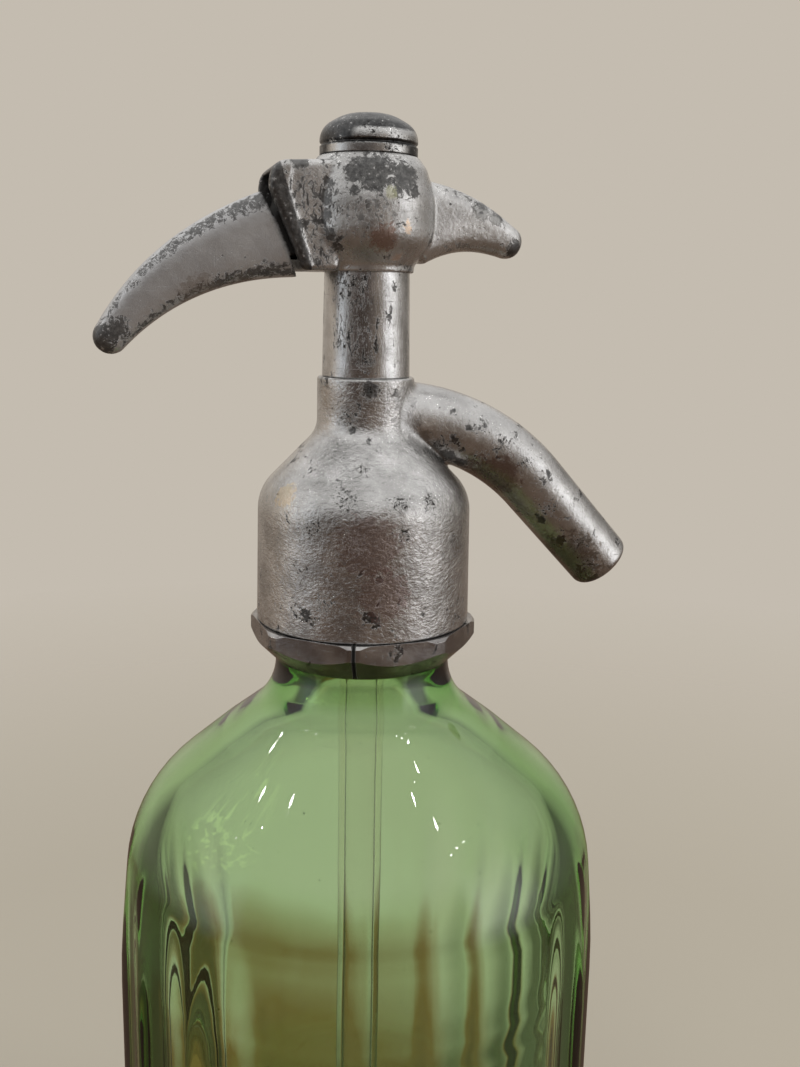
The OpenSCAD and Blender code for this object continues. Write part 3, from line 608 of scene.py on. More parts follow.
def makeFloor():
    look = {"radius": 0.9, "fadeFrom": 0.3, "fadeTo": 0.85, "colour": (0.46, 0.42, 0.345)}
    pickNone()
    bpy.ops.mesh.primitive_circle_add(vertices=96, radius=look["radius"], fill_type="NGON")
    floor = bpy.context.object
    floor.name = "floor"
    made, shader = newMaterial("plain floor")
    where = places()
    far = node("ShaderNodeVectorMath", {0: where}, operation="LENGTH").outputs[1]
    clear = stretch(far, look["fadeFrom"] * 1000, look["fadeTo"] * 1000)
    seen = node("ShaderNodeLightPath")
    indirect = larger(seen.outputs["Is Transmission Ray"], seen.outputs["Is Glossy Ray"])
    clear = larger(clear, indirect)
    fill(shader, {"Base Color": (*look["colour"], 1), "Roughness": 0.9, "Specular IOR Level": 0.1})
    through = node("ShaderNodeBsdfTransparent")
    joined = node("ShaderNodeMixShader", {0: clear, 1: shader.outputs[0], 2: through.outputs[0]})
    fill(made.node_tree.nodes["Material Output"], {"Surface": joined.outputs[0]})
    dress(floor, made)


def addLamp(name, place, target, size, power, colour):
    data = bpy.data.lights.new(name, "AREA")
    data.shape = "RECTANGLE"
    data.size, data.size_y = size
    data.energy = power
    data.color = colour
    lamp = bpy.data.objects.new(name, data)
    bpy.context.scene.collection.objects.link(lamp)
    lamp.location = place
    lamp.rotation_euler = (Vector(target) - Vector(place)).to_track_quat("-Z", "Y").to_euler()
    lamp.visible_camera = False
    lamp.visible_transmission = False
    return lamp


makeRoom()
makeFloor()
lampLook = {
    "target": (0, 0, 0.2), "size": (0.4, 0.4),
    "lamps": [("windowLamp", (0.75, -0.45, 0.8), 2.3, (1.0, 0.97, 0.93)),
    ("topLamp", (-0.3, -0.45, 1.0), 1.8, (0.96, 0.98, 1.0))]}
for name, place, power, colour in lampLook["lamps"]:
    lamp = addLamp(name, place, lampLook["target"], lampLook["size"], power, colour)
    lamp.visible_glossy = False
# small spots that glint on the glass, in two groups
spotLook = {
    "centre": (0, -0.03, 0.175), "away": 1.25, "target": (0, 0, 0.17), "size": (0.016, 0.016),
    "power": 0.055, "ways": [(0.42, -0.1, 0.9), (0.38, -0.18, 0.91), (0.34, -0.25, 0.9),
    (0.45, -0.24, 0.86), (0.56, -0.34, 0.76), (0.6, -0.26, 0.76), (0.52, -0.42, 0.74), (-0.5, 0.0, 0.87),
    (-0.6, 0.08, 0.8), (-0.62, 0.21, 0.76), (-0.72, 0.14, 0.68), (-0.56, 0.42, 0.72)]}
for k, way in enumerate(spotLook["ways"]):
    place = Vector(spotLook["centre"]) + Vector(way) * spotLook["away"]
    addLamp("spot%d" % k, place, spotLook["target"], spotLook["size"], spotLook["power"], (1, 1, 1))
print("camera, room, floor and lamps placed")


# glass bottle

def makeBottle():
    look = {
        "outer": [(0, 4), (36.2, 0.8), (37, 0), (54.5, 0, 9), (54.5, 129.7, 150), (51.4, 163.45, 30),
        (32.25, 179.7, 24), (19.2, 189.7, 14), (19.2, 197.2), (15, 197.2), (15, 213), (17.8, 213, 1),
        (17.8, 221, 2)], "inner": [(10.5, 221), (10.5, 188.178, 8.7), (28.168, 174.639, 17.5),
        (45.17, 160.212, 23.5), (48, 129.402, 143.5), (48, 13, 18), (0, 13)], "fluteCentre": 77.1957,
        "fluteRadius": 24.3957, "pitch": 19.3, "flutes": 6, "soft": 1.2, "perFlute": 24, "perPanel": 60,
        "innerRadius": 48.6, "domeFrom": 131, "fluteTop": 185}
    outer = roundedLine(look["outer"], 5, closed=False)
    inner = roundedLine(look["inner"], 6, closed=False)
    line = splitLong(outer + inner, 2.2)
    sides = 2 * (look["flutes"] * look["perFlute"] + look["perPanel"])
    bottle = turned("bottle", line, sides, 35)
    # the spun columns are set on the edges of the flutes, and the flutes pressed in
    span = look["pitch"] * look["flutes"]
    angles = []
    for side in (0, 180):
        for k in range(look["flutes"]):
            for j in range(look["perFlute"]):
                t = j / look["perFlute"]
                bent = t - 0.5 * math.sin(2 * math.pi * t) / (2 * math.pi)
                angles.append(side - span / 2 + look["pitch"] * (k + bent))
        for j in range(look["perPanel"]):
            angles.append(side + span / 2 + (180 - span) * j / look["perPanel"])
    shape = bmesh.new()
    shape.from_mesh(bottle.data)
    for vert in shape.verts:
        radius = math.hypot(vert.co.x, vert.co.y) / mm
        if radius < 0.01:
            continue
        column = round(math.degrees(math.atan2(vert.co.y, vert.co.x)) / 360 * sides) % sides
        angle = angles[column]
        height = vert.co.z / mm
        off = abs((angle + 180) % 360 - 180)
        off = min(off, abs(off - 180))
        onDome = height > look["domeFrom"] and onOuter(radius, height, outer)
        wallOut = radius > look["innerRadius"] or onDome
        if wallOut and off < span / 2 + 3 and 0 <= height < look["fluteTop"]:
            part = off / look["pitch"]
            delta = math.radians((part - math.floor(part) - 0.5) * look["pitch"])
            if off > span / 2:
                delta = math.radians(off - span / 2 + look["pitch"] / 2)
            press = look["fluteCentre"] * math.sin(delta)
            if abs(press) < look["fluteRadius"] - 0.3:
                deep = math.sqrt(look["fluteRadius"] ** 2 - press ** 2)
                flute = look["fluteCentre"] * math.cos(delta) - deep
                near = max(0.0, min(1.0, 0.5 + 0.5 * (flute - radius) / look["soft"]))
                radius = flute * (1 - near) + radius * near - look["soft"] * near * (1 - near)
        turn = math.radians(angle)
        vert.co.x = radius * mm * math.cos(turn)
        vert.co.y = radius * mm * math.sin(turn)
    shape.to_mesh(bottle.data)
    shape.free()
    bottle.data.update()
    return bottle


def onOuter(radius, height, outer):
    # nearer to the outer profile than 3 mm
    best = min((Vector((radius, height)) - point).length for point in outer)
    return best < 3.0


def glassMaterial(name, colour, density, bumpy, index=1.52):
    made, shader = newMaterial(name)
    where = places()
    smear = stretch(noise(where, 0.06, 4, 0.6), 0.45, 0.75, (0.0, 0.05))
    waves = noise(places((1, 1, 0.3)), 0.06, 1, 0.4)
    ripple = noise(where, 0.35, 2, 0.5)
    height = plus(times(waves, bumpy), times(ripple, bumpy * 0.012))
    dust = stretch(noise(where, 0.7, 3, 0.6), 0.725, 0.74)
    fill(shader, {"Transmission Weight": 1.0, "IOR": index, "Roughness": smear,
                        "Normal": relief(height),
                        "Base Color": mix(dust, (1, 1, 1), (0.25, 0.3, 0.2))})
    inside = node("ShaderNodeVolumeAbsorption", {"Color": (*colour, 1), "Density": density})
    fill(made.node_tree.nodes["Material Output"], {"Volume": inside.outputs[0]})
    return made


bottle = makeBottle()
dress(bottle, glassMaterial("green bottle glass", (0.3, 0.72, 0.07), 74, 0.07))
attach(bottle, "siphon")
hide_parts("glass_bottle")

tubeSizes = {"profile": [(3.3, 16), (5, 16, 0.6), (5, 212.6, 0.4), (3.3, 212.6)], "sides": 64}
tube = turned("dipTube", splitLong(roundedLine(tubeSizes["profile"], 20), 20), tubeSizes["sides"])
dress(tube, glassMaterial("drawn tube glass", (0.72, 0.58, 0.3), 32, 0.03, 1.1))
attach(tube, "siphon")
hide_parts("dip_tube")
print("bottle and tube made:", len(bottle.data.polygons), "faces")


# metal looks

pewter = {
    "metal": 0.95, "raggedScale": 0.75, "patchScale": 0.17, "patchStretch": (1, 1, 1),
    "patchTurn": (0, 0, 0), "patchFrom": 0.58, "patchSoft": 0.035, "pitScale": 0.95, "pitFrom": 0.665,
    "speckFrom": 0.69, "crackStretch": (1.1, 1.1, 0.55), "crackTurn": (0, 0.45, 0),
    "plating": (0.6, 0.595, 0.585), "platingShade": (0.44, 0.435, 0.425), "grain": (0.3, 0.295, 0.29),
    "tarnish": (0.075, 0.074, 0.073), "tarnishShade": (0.14, 0.138, 0.134), "pit": (0.025, 0.023, 0.021),
    "scratch": (0.16, 0.155, 0.15), "roughness": (0.15, 0.3), "tarnishRough": 0.1, "waveScale": 0.35,
    "waveHeight": 0.12, "wrinkle": (0.8, 0.8, 0.8), "wrinkleHeight": 0.1, "grainHeight": 0.015}
bellLook = dict(
    pewter, patchFrom=0.615, pitFrom=0.668, pitScale=1.3, speckFrom=0.665, wrinkle=(0.85, 0.85, 1.25),
    wrinkleHeight=0.19, plating=(0.66, 0.655, 0.645), roughness=(0.13, 0.26),
    darkSpots=[
        ((-4.8, -9.4, 248.1), 0.8, 0.9), ((-1.5, -10.2, 256.4), 1.7, 0.85),
        ((-2.0, -22.8, 219.6), 0.9, 0.8)],
    pitSpots=[
        ((-8.0, -19.5, 235.2), 4.5), ((2.4, -21.4, 234.8), 3.6), ((9.0, -20.0, 234.8), 3.4),
        ((-14.5, -17.8, 229.5), 4.5), ((-5.5, -9.0, 250.5), 4.0), ((-1.0, -10.2, 256.5), 3.4),
        ((-4.5, -15.9, 240.8), 3.4), ((-6.5, -22.0, 227.0), 4.0), ((3.0, -22.8, 229.0), 3.0),
        ((12.5, -6.5, 245.5), 3.4), ((10.5, -5.5, 251.0), 3.0), ((-12.0, -19.5, 214.0), 4.0),
        ((15.0, -17.0, 226.0), 3.0)],
    stainsAndPaintedLight=[
        # painted warm highlight on the bell's left side
        ((-18.9, -10.5, 235.1), 2.6, (0.75, 0.55, 0.25), 0.28),
        # painted shade along the spout's joint, over the light the fillet catches
        ((6.6, -8.6, 254.0), 2.8, (0.34, 0.335, 0.33), 0.7),
        ((6.4, -9.0, 249.4), 2.6, (0.32, 0.315, 0.31), 0.7),
        ((9.4, -8.8, 245.2), 2.6, (0.28, 0.275, 0.27), 0.7),
        ((-8.6, -5.8, 254.0), 3.2, (0.38, 0.34, 0.3), 0.6),
        # painted dark reddish reflection on the bell's front
        ((-4.0, -22.6, 226.0), 6.0, (0.26, 0.17, 0.15), 0.5),
        ((-1.0, -23.0, 216.0), 5.0, (0.28, 0.18, 0.16), 0.45)])
spoutLook = dict(
    pewter, patchFrom=0.6, pitScale=1.3, speckFrom=0.675, wrinkleHeight=0.09, waveHeight=0.1,
    darkSpots=[
        ((39.2, -5.4, 227.1), 1.1, 0.95), ((44.1, -5.7, 222.4), 1.3, 0.95),
        ((53.0, -5.5, 212.0), 2.4, 0.8), ((17.0, -5.2, 241.6), 2.0, 0.9),
        ((20.5, -4.6, 239.9), 1.6, 0.9), ((42.0, -2.0, 217.8), 2.4, 0.8)],
    pitSpots=[
        ((28.2, -7.6, 244.4), 3.4), ((24.0, -6.5, 241.5), 3.6), ((15.0, -6.5, 244.5), 4.0),
        ((34.0, -6.5, 240.5), 3.4), ((40.0, -7.0, 230.0), 4.0), ((48.0, -6.8, 222.0), 4.5),
        ((51.0, -6.6, 217.0), 4.0), ((45.0, -3.0, 228.5), 3.6), ((36.0, -3.0, 243.0), 3.6)],
    stainsAndPaintedLight=[
        # painted shade and brown reflection on the spout's underside
        ((27.0, -5.0, 236.5), 6.0, (0.17, 0.11, 0.09), 0.7),
        ((46.0, -4.0, 216.0), 8.0, (0.13, 0.1, 0.075), 0.7),
        # painted shade along the spout's joint, over the light the fillet catches
        ((6.8, -8.4, 253.6), 2.6, (0.3, 0.295, 0.29), 0.75),
        ((7.0, -8.8, 249.6), 2.8, (0.28, 0.275, 0.27), 0.75),
        ((9.8, -8.6, 245.6), 2.8, (0.24, 0.235, 0.23), 0.8),
        ((13.4, -7.4, 242.8), 2.4, (0.18, 0.175, 0.17), 0.8)])
# the mouth's front and the rim's back edge as planes across the hood
intoMouth = (0.916, 0, 0.4)
behindRim = (0.952, 0, 0.306)
rimBack = -17.9 * 0.952 + 295.2 * 0.306
mouthFront = -21.9 * 0.916 + 295.8 * 0.4
housingLook = dict(
    pewter, metal=0.86, patchFrom=0.595, pitFrom=0.655, wrinkle=(0.9, 0.9, 0.9), wrinkleHeight=0.12,
    plating=(0.66, 0.655, 0.645), roughness=(0.17, 0.34), edges=0.66,
    brightSpots=[
        ((-8.6, -10.8, 298.2), 2.0, 1.0), ((8.5, -11.0, 295.0), 3.4, 1.0),
        # painted highlight at the horn's root, where tarnish is taken off
        ((17.0, -5.0, 292.5), 4.5, 1.0)],
    darkSpots=[
        ((-1.5, -12.5, 298.9), 3.9, 1.0), ((-5.2, -11.6, 299.2), 2.3, 1.0),
        ((4.6, -12.4, 298.4), 3.2, 1.0), ((3.0, -13.2, 295.4), 1.2, 1.0),
        ((6.8, -11.8, 295.6), 1.2, 1.0), ((-5.5, -12.4, 295.4), 1.0, 1.0),
        ((23.1, -3.6, 293.2), 2.0, 1.0), ((27.0, -3.0, 291.6), 1.8, 1.0),
        ((31.4, -2.6, 285.4), 1.9, 0.95), ((-15.5, -8.6, 301.2), 1.8, 0.9),
        ((-10.4, -9.4, 297.0), 1.3, 0.85), ((-10.6, -9.2, 294.0), 1.2, 0.85),
        ((-10.4, -9.2, 290.6), 1.2, 0.85), ((-9.8, -9.4, 287.0), 1.3, 0.85),
        ((-8.8, -10.0, 284.0), 1.5, 0.85)],
    crackSpots=[
        ((-13.8, -8.6, 292.0), 6.8, 0.95), ((-11.5, -8.6, 284.6), 3.6, 0.95),
        ((-3.0, -13.4, 291.0), 4.5, 0.6)],
    bands=[
        [(behindRim, rimBack + 0.1, rimBack - 0.1), ((1, 0, 0), -11.5, -12.5)]],
    # painted shade inside the hood's hollow behind the mouth
    paintedShade=[
        ('y', 7.25, 7.0), ((1, 0, 0), -8.0, -8.8), ((0, 0, 1), 282.4, 283.0), ((0, 0, 1), 299.9, 299.4),
        (intoMouth, mouthFront + 1.8, mouthFront + 4.2)],
    stainsAndPaintedLight=[
        # painted shade that darkens the horn's near side
        ((24.0, -4.0, 288.5), 5.0, (0.44, 0.435, 0.42), 0.6),
        ((1.5, -13.5, 295.2), 1.3, (0.42, 0.42, 0.27), 0.55),
        # painted dark reddish reflection on the barrel's front
        ((0.2, -12.0, 287.0), 3.0, (0.26, 0.15, 0.11), 0.7),
        # painted orange highlights on the barrel
        ((4.8, -11.8, 289.0), 1.4, (0.75, 0.52, 0.33), 0.55),
        ((3.4, -10.0, 283.4), 1.1, (0.7, 0.45, 0.3), 0.45)])
leverLook = dict(
    pewter, metal=0.72, patchFrom=0.65, pitFrom=0.685, speckFrom=0.7, wrinkleHeight=0.03,
    waveHeight=0.06, plating=(0.58, 0.58, 0.58), platingShade=(0.5, 0.5, 0.505),
    grain=(0.42, 0.42, 0.42), roughness=(0.28, 0.42), edges=0.6,
    darkSpots=[
        ((-54.5, -2.0, 265.6), 3.6, 0.95), ((-50.6, -2.0, 268.0), 2.6, 0.9),
        ((-46.5, -2.5, 276.2), 1.4, 0.8)],
    # painted shade on the part of the lever inside the mouth
    paintedShade=[
        (intoMouth, -23.1 * 0.916 + 295.8 * 0.4 - 0.9, -23.1 * 0.916 + 295.8 * 0.4 + 0.4)],
    stainsAndPaintedLight=[
        ((-26.0, -4.2, 274.8), 4.0, (0.22, 0.19, 0.165), 0.5),
        ((-35.0, -3.6, 274.6), 4.0, (0.24, 0.2, 0.17), 0.5)])
columnLook = dict(
    pewter, patchFrom=0.6, patchStretch=(1.6, 1.6, 0.5), patchScale=0.3, pitFrom=0.675,
    wrinkle=(1.3, 1.3, 0.35), wrinkleHeight=0.05, waveHeight=0.04, roughness=(0.1, 0.22),
    plating=(0.68, 0.68, 0.68), crackStretch=(1.7, 1.7, 0.45), crackTurn=(0, 0, 0),
    crackSpots=[
        ((-5.0, -7.8, 276.5), 4.2, 0.95), ((-6.0, -7.2, 268.0), 3.4, 0.8),
        ((-2.0, -9.0, 264.0), 3.0, 0.7)],
    pitSpots=[
        ((-5.5, -7.5, 277.0), 5.0), ((-6.5, -6.5, 266.0), 4.0), ((-2.0, -9.0, 262.0), 4.0)])
capLook = dict(
    pewter, patchFrom=0.3, patchSoft=0.06, wrinkleHeight=0.03, waveHeight=0.06,
    tarnish=(0.05, 0.05, 0.051), tarnishShade=(0.085, 0.085, 0.085), roughness=(0.16, 0.26),
    # painted light bands on the cap's front side, where its highlights fall
    paintedLightBands=[
        [((0, 0, 1), 305.7, 306.0), ((0, 0, 1), 308.0, 307.5), ((0.3, -0.95, 0), 6.2, 7.2)],
        [((0, 0, 1), 304.9, 304.6), ((-0.25, -0.97, 0), 5.5, 7.0)]],
    pitSpots=[((-2.0, -10.0, 307.5), 4.0), ((3.0, -10.0, 304.5), 4.0)])
ringLook = dict(
    pewter, patchFrom=0.6, wrinkleHeight=0.02, waveHeight=0.05, roughness=(0.1, 0.2),
    plating=(0.44, 0.43, 0.42), platingShade=(0.24, 0.225, 0.22),
    # painted shade on the faces of the saw cut and beside them
    paintedShade=[
        ((0.9563, -0.2924, 0), -0.5, -0.34), ((0.9563, -0.2924, 0), 0.5, 0.34)])
# lighter metal for the ring's bevelled edges: wear, and a painted highlight along the edges
ringEdgeWearAndHighlightLook = dict(
    ringLook, patchFrom=0.7, plating=(0.66, 0.65, 0.64), platingShade=(0.52, 0.51, 0.5))


# head bell

bellSizes = {
    "profile": [(20.7, 205.98, 0.3), (23.3, 205.98, 0.45), (22.95, 234.2, 10), (10.35, 247.15, 6),
    (10.35, 258.5, 0.6), (7.55, 258.5, 0.2), (7.55, 253.9), (6, 253.9), (6, 232.08), (4.55, 232.08),
    (4.55, 226.08), (20.7, 226.08)], "sides": 192}
bellLine = roundedLine(bellSizes["profile"], 6)
bell = turned("bell", splitLong(bellLine, 2.5), bellSizes["sides"])
dress(bell, wornMetal("bell pewter", bellLook))
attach(bell, "siphon")
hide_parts("head_bell")
print("bell made")


# spout, with the fillet where it was cast on the bell

def bellRadius(height):
    # outer radius of the bell at a height, from the profile's outer run
    outer = [p for p in bellLine if p.x > 10.2]
    best = 10.35
    for low, high in zip(outer, outer[1:]):
        if low.y <= height <= high.y and high.y > low.y:
            best = low.x + (high.x - low.x) * (height - low.y) / (high.y - low.y)
    return best


def makeSpout():
    look = {
        "axis": 249.7, "straight": 5, "bend": 46, "turn": 47.3, "end": 26.8, "root": 8.05, "tip": 7.1,
        "bore": 3.6, "edge": 1.8, "count": 96, "fillet": 3.2, "inner": 7, "neckTop": 257.9}
    turn = math.radians(look["turn"])
    length = look["straight"] + look["bend"] * turn + look["end"]

    def middle(s):
        if s < look["straight"]:
            return Vector((s, 0, look["axis"])), Vector((1, 0, 0))
        bent = min((s - look["straight"]) / look["bend"], turn)
        here = Vector((look["straight"] + look["bend"] * math.sin(bent), 0,
                       look["axis"] - look["bend"] * (1 - math.cos(bent))))
        way = Vector((math.cos(bent), 0, -math.sin(bent)))
        rest = s - look["straight"] - look["bend"] * turn
        return (here + way * rest if rest > 0 else here), way

    def skin(s, angle, inset=0.0, radius=None):
        here, way = middle(s)
        up = Vector((-way.z, 0, way.x))
        taper = look["root"] + (look["tip"] - look["root"]) * s / length
        size = (taper if radius is None else radius) - inset
        return here + (up * math.cos(angle) + Vector((0, 1, 0)) * math.sin(angle)) * size

    def hoop(s, inset=0.0, radius=None):
        return [skin(s, angle, inset, radius) for angle in angles]

    count = look["count"]
    angles = [2 * math.pi * k / count for k in range(count)]
    contact = []
    for angle in angles:
        low, high = 3.0, 32.0
        for _ in range(40):
            s = (low + high) / 2
            spot = skin(s, angle)
            if math.hypot(spot.x, spot.y) < bellRadius(spot.z):
                low = s
            else:
                high = s
        contact.append(low)
    rings = []
    reach = look["fillet"]
    starts, ends = [], []
    for angle, s in zip(angles, contact):
        spot = skin(s, angle)
        here, way = middle(s)
        out = (spot - here).normalized()
        around = math.atan2(spot.y, spot.x)
        slope = (bellRadius(spot.z + 0.3) - bellRadius(spot.z - 0.3)) / 0.6
        normal = Vector((math.cos(around), math.sin(around), -slope)).normalized()
        along = (out - normal * out.dot(normal)).normalized()
        wide = reach
        edge = spot + along * wide
        if edge.z > look["neckTop"]:
            wide *= max(0.02, (look["neckTop"] - spot.z) / max(0.01, edge.z - spot.z))
            edge = spot + along * max(wide, 0.05)
        sunk = bellRadius(edge.z) - 0.06
        flat = Vector((edge.x, edge.y)).normalized() * sunk
        starts.append(Vector((flat.x, flat.y, edge.z)))
        ends.append(min(wide, reach))
    deep = [starts[k] - Vector((starts[k].x, starts[k].y, 0)).normalized() * 1.2 for k in range(count)]
    rings.append(deep)
    for step in range(9):
        t = step / 8
        row = []
        for k, angle in enumerate(angles):
            corner = skin(contact[k], angle)
            far = skin(contact[k] + max(ends[k], 1.0), angle)
            row.append(starts[k] * (1 - t) ** 2 + corner * 2 * t * (1 - t) + far * t * t)
        rings.append(row)
    begin = [contact[k] + max(ends[k], 1.0) for k in range(count)]
    flush = max(begin) + 1.5
    for step in range(1, 7):
        t = step / 6
        rings.append([skin(begin[k] * (1 - t) + flush * t, angles[k]) for k in range(count)])
    rest = length - look["edge"] - flush
    steps = 44
    for step in range(1, steps + 1):
        rings.append(hoop(flush + rest * step / steps))
    for step in range(1, 7):
        turnBy = math.pi / 2 * step / 6
        s = length - look["edge"] + look["edge"] * math.sin(turnBy)
        rings.append(hoop(s, look["edge"] * (1 - math.cos(turnBy))))
    rings.append(hoop(length, 0, look["bore"] + 0.35))
    rings.append(hoop(length - 0.12, 0, look["bore"] + 0.1))
    for step in range(0, 21):
        s = length - 0.4 - (length - 0.4 - look["inner"]) * step / 20
        rings.append(hoop(s, 0, look["bore"]))
    rings.append(hoop(look["inner"], 0, 5.5))
    rings.append(deep)
    return lofted("spout", rings, 50)


spout = makeSpout()
dress(spout, wornMetal("spout pewter", spoutLook))
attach(spout, "siphon")
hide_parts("spout")
print("spout made:", len(spout.data.polygons), "faces")


# column

columnSizes = {
    "profile": [(7.5, 253.92, 0.4), (7.5, 258.52), (9.35, 258.52, 0.25), (8.95, 280.88, 0.2),
    (7.5, 280.88), (7.5, 283.9, 0.4), (6, 283.9), (6, 253.92)], "sides": 160}
column = turned("column", splitLong(roundedLine(columnSizes["profile"], 15), 2.5), columnSizes["sides"], 35)
dress(column, wornMetal("column plating", columnLook))
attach(column, "siphon")
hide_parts("column_tube")


# lever housing: barrel, hood and finger horn in one casting

def makeHousing():
    look = {
        "barrel": [(9.0, 279.95), (9.75, 279.95, 0.25), (9.8, 281.5, 0.8), (13.95, 286.1, 7),
        (13.95, 294.4, 12), (12.125, 300.7, 3), (10.3, 303.1, 0.8), (0, 303.1), (0, 279.95)],
        "hood": [(-7.5, 301.7), (-21.1, 300.9, 3.8), (-21.9, 295.8, 4), (-15, 280.0, 1.2), (-7.5, 280.0)],
        "hoodWidth": 17, "rimProud": 0.45, "cavityWidth": 13.8, "horn": [(9.95, 290.5), (19.85, 292.1),
        (26.4, 288.9), (30.3, 287.1)], "hornHigh": (8.8, 4.64, 3.5), "hornWide": (6.5, 4.29, 3.5)}
    barrel = turned("housing", roundedLine(look["barrel"], 8), 128)
    hoodLine = roundedLine(look["hood"], 10)
    hood = plate("hood", hoodLine, look["hoodWidth"], 1.8)
    combine(barrel, hood, "UNION")
    rimBox = points([(-26, 306), (-26, 276), (-12.4, 276), (-12.8, 279), (-17.9, 295.2),
                     (-17.0, 301.4), (-16.6, 306)])
    rim = plate("rim", hoodLine, look["hoodWidth"] + 2 * look["rimProud"], 1.2)
    keep = plate("rimKeep", rimBox, 40)
    combine(rim, keep, "INTERSECT")
    combine(barrel, rim, "UNION")
    hornLine = points(look["horn"])
    horn = lofted("horn", armRings(hornLine, look["hornHigh"], look["hornWide"], 24, 48, (3.6, 2.5)))
    combine(barrel, horn, "UNION")
    # hollow of the mouth, the spring chamber and the fit on the column
    cavityLine = points([(-30, 282.4), (-9.4, 282.4), (-9.4, 284.5), (0, 284.5), (0, 299.0),
                         (-19.2, 299.0), (-30, 299.0)])
    cavity = plate("cavity", cavityLine, look["cavityWidth"])
    combine(barrel, cavity, "DIFFERENCE")
    chamber = turned("chamber", points(((0, 284.5), (8.2, 284.5), (8.2, 310), (0, 310))), 96)
    combine(barrel, chamber, "DIFFERENCE")
    # the web's hole is wider than its size, because the remesh draws it in
    spigotLine = points([(0, 279), (9.0, 279), (9.0, 280.9), (7.55, 280.9), (7.55, 283.92),
                         (6.4, 283.92), (6.4, 286), (0, 286)])
    spigot = turned("spigotHole", spigotLine, 96)
    combine(barrel, spigot, "DIFFERENCE")
    remeshed(barrel, 0.33, 7)
    markEdges(barrel, look["horn"], look["hornHigh"], look["hornWide"], 15)
    return barrel


housing = makeHousing()
dress(housing, wornMetal("housing pewter", housingLook))
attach(housing, "siphon")
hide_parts("lever_housing", "finger_horn")
print("housing made:", len(housing.data.polygons), "faces")


# cap

capSizes = {
    "profile": [(6.5, 298.1), (7.9, 298.1, 0.4), (7.9, 303.74), (9.75, 303.74), (9.75, 303.2),
    (10.1, 303.2, 0.15), (10.1, 304.9, 0.3), (9.6, 305.25, 0.2), (10.1, 305.7, 0.4), (10.1, 308.44, 4.2),
    (5.05, 311.24, 8), (0, 311.64), (0, 308.64), (6.5, 308.64)], "sides": 144}
cap = turned("cap", roundedLine(capSizes["profile"], 6), capSizes["sides"], 40)
dress(cap, wornMetal("cap pewter", capLook))
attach(cap, "siphon")
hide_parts("top_cap")


# hand lever

def layAcross(piece, x, z):
    # an upright pin is laid along Y, with its middle at x and z in mm
    pickOnly(piece)
    editAll()
    bpy.ops.transform.rotate(value=math.pi / 2, orient_axis="X", center_override=(0, 0, 0))
    bpy.ops.transform.translate(value=(x * mm, 0, z * mm))
    leaveEdit()


def makeLever():
    look = {
        "path": [(-13.05, 288.65), (-19.25, 287.05), (-38.6, 285.1), (-52.5, 266.3)],
        "high": (10.01, 7.81, 3.5), "wide": (7.3, 6.42, 3.5), "cut": [(-22.3, 301.8), (-23.1, 295.8),
        (-16.2, 280.0), (-15.2, 278.6), (-14.8, 262.7), (0, 262.7), (0, 302.8)], "hub": [(-18.6, 295.7),
        (-20.6, 289.1), (-17, 283.1), (-11.8, 283.1), (-9.8, 286.9), (-9.8, 292.7)],
        "tongue": [(0, 286.9), (0, 290.2), (-6.6, 290.2), (-11.2, 292.3), (-11.2, 286.9), (-8.2, 287.7)]}
    armLine = points(look["path"])
    arm = lofted("handLever", armRings(armLine, look["high"], look["wide"], 40, 64, (4.4, 3)))
    combine(arm, plate("cut", points(look["cut"]), 60), "DIFFERENCE")
    hub = plate("hub", points(look["hub"]), 13.2)
    groove = turned("groove", points(((0, -12), (1.18, -12), (1.18, 12), (0, 12))), 32)
    layAcross(groove, -13.6, 283.1)
    combine(hub, groove, "DIFFERENCE")
    combine(arm, hub, "UNION")
    combine(arm, plate("tongue", points(look["tongue"]), 4.6), "UNION")
    nose = turned("nose", points(((0, -2.3), (2.1, -2.3), (2.1, 2.3), (0, 2.3))), 32)
    layAcross(nose, 0, 288.3)
    combine(arm, nose, "UNION")
    remeshed(arm, 0.33, 3)
    markEdges(arm, look["path"], look["high"], look["wide"])
    return arm


lever = makeLever()
dress(lever, wornMetal("lever pewter", leverLook))
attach(lever, "hand_lever")
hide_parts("lever")
print("lever made:", len(lever.data.polygons), "faces")


# split octagon ring

ringMetal = wornMetal("ring plating", ringLook)
ringEdgeWearAndHighlight = wornMetal("ring edge wear and painted highlight", ringEdgeWearAndHighlightLook)


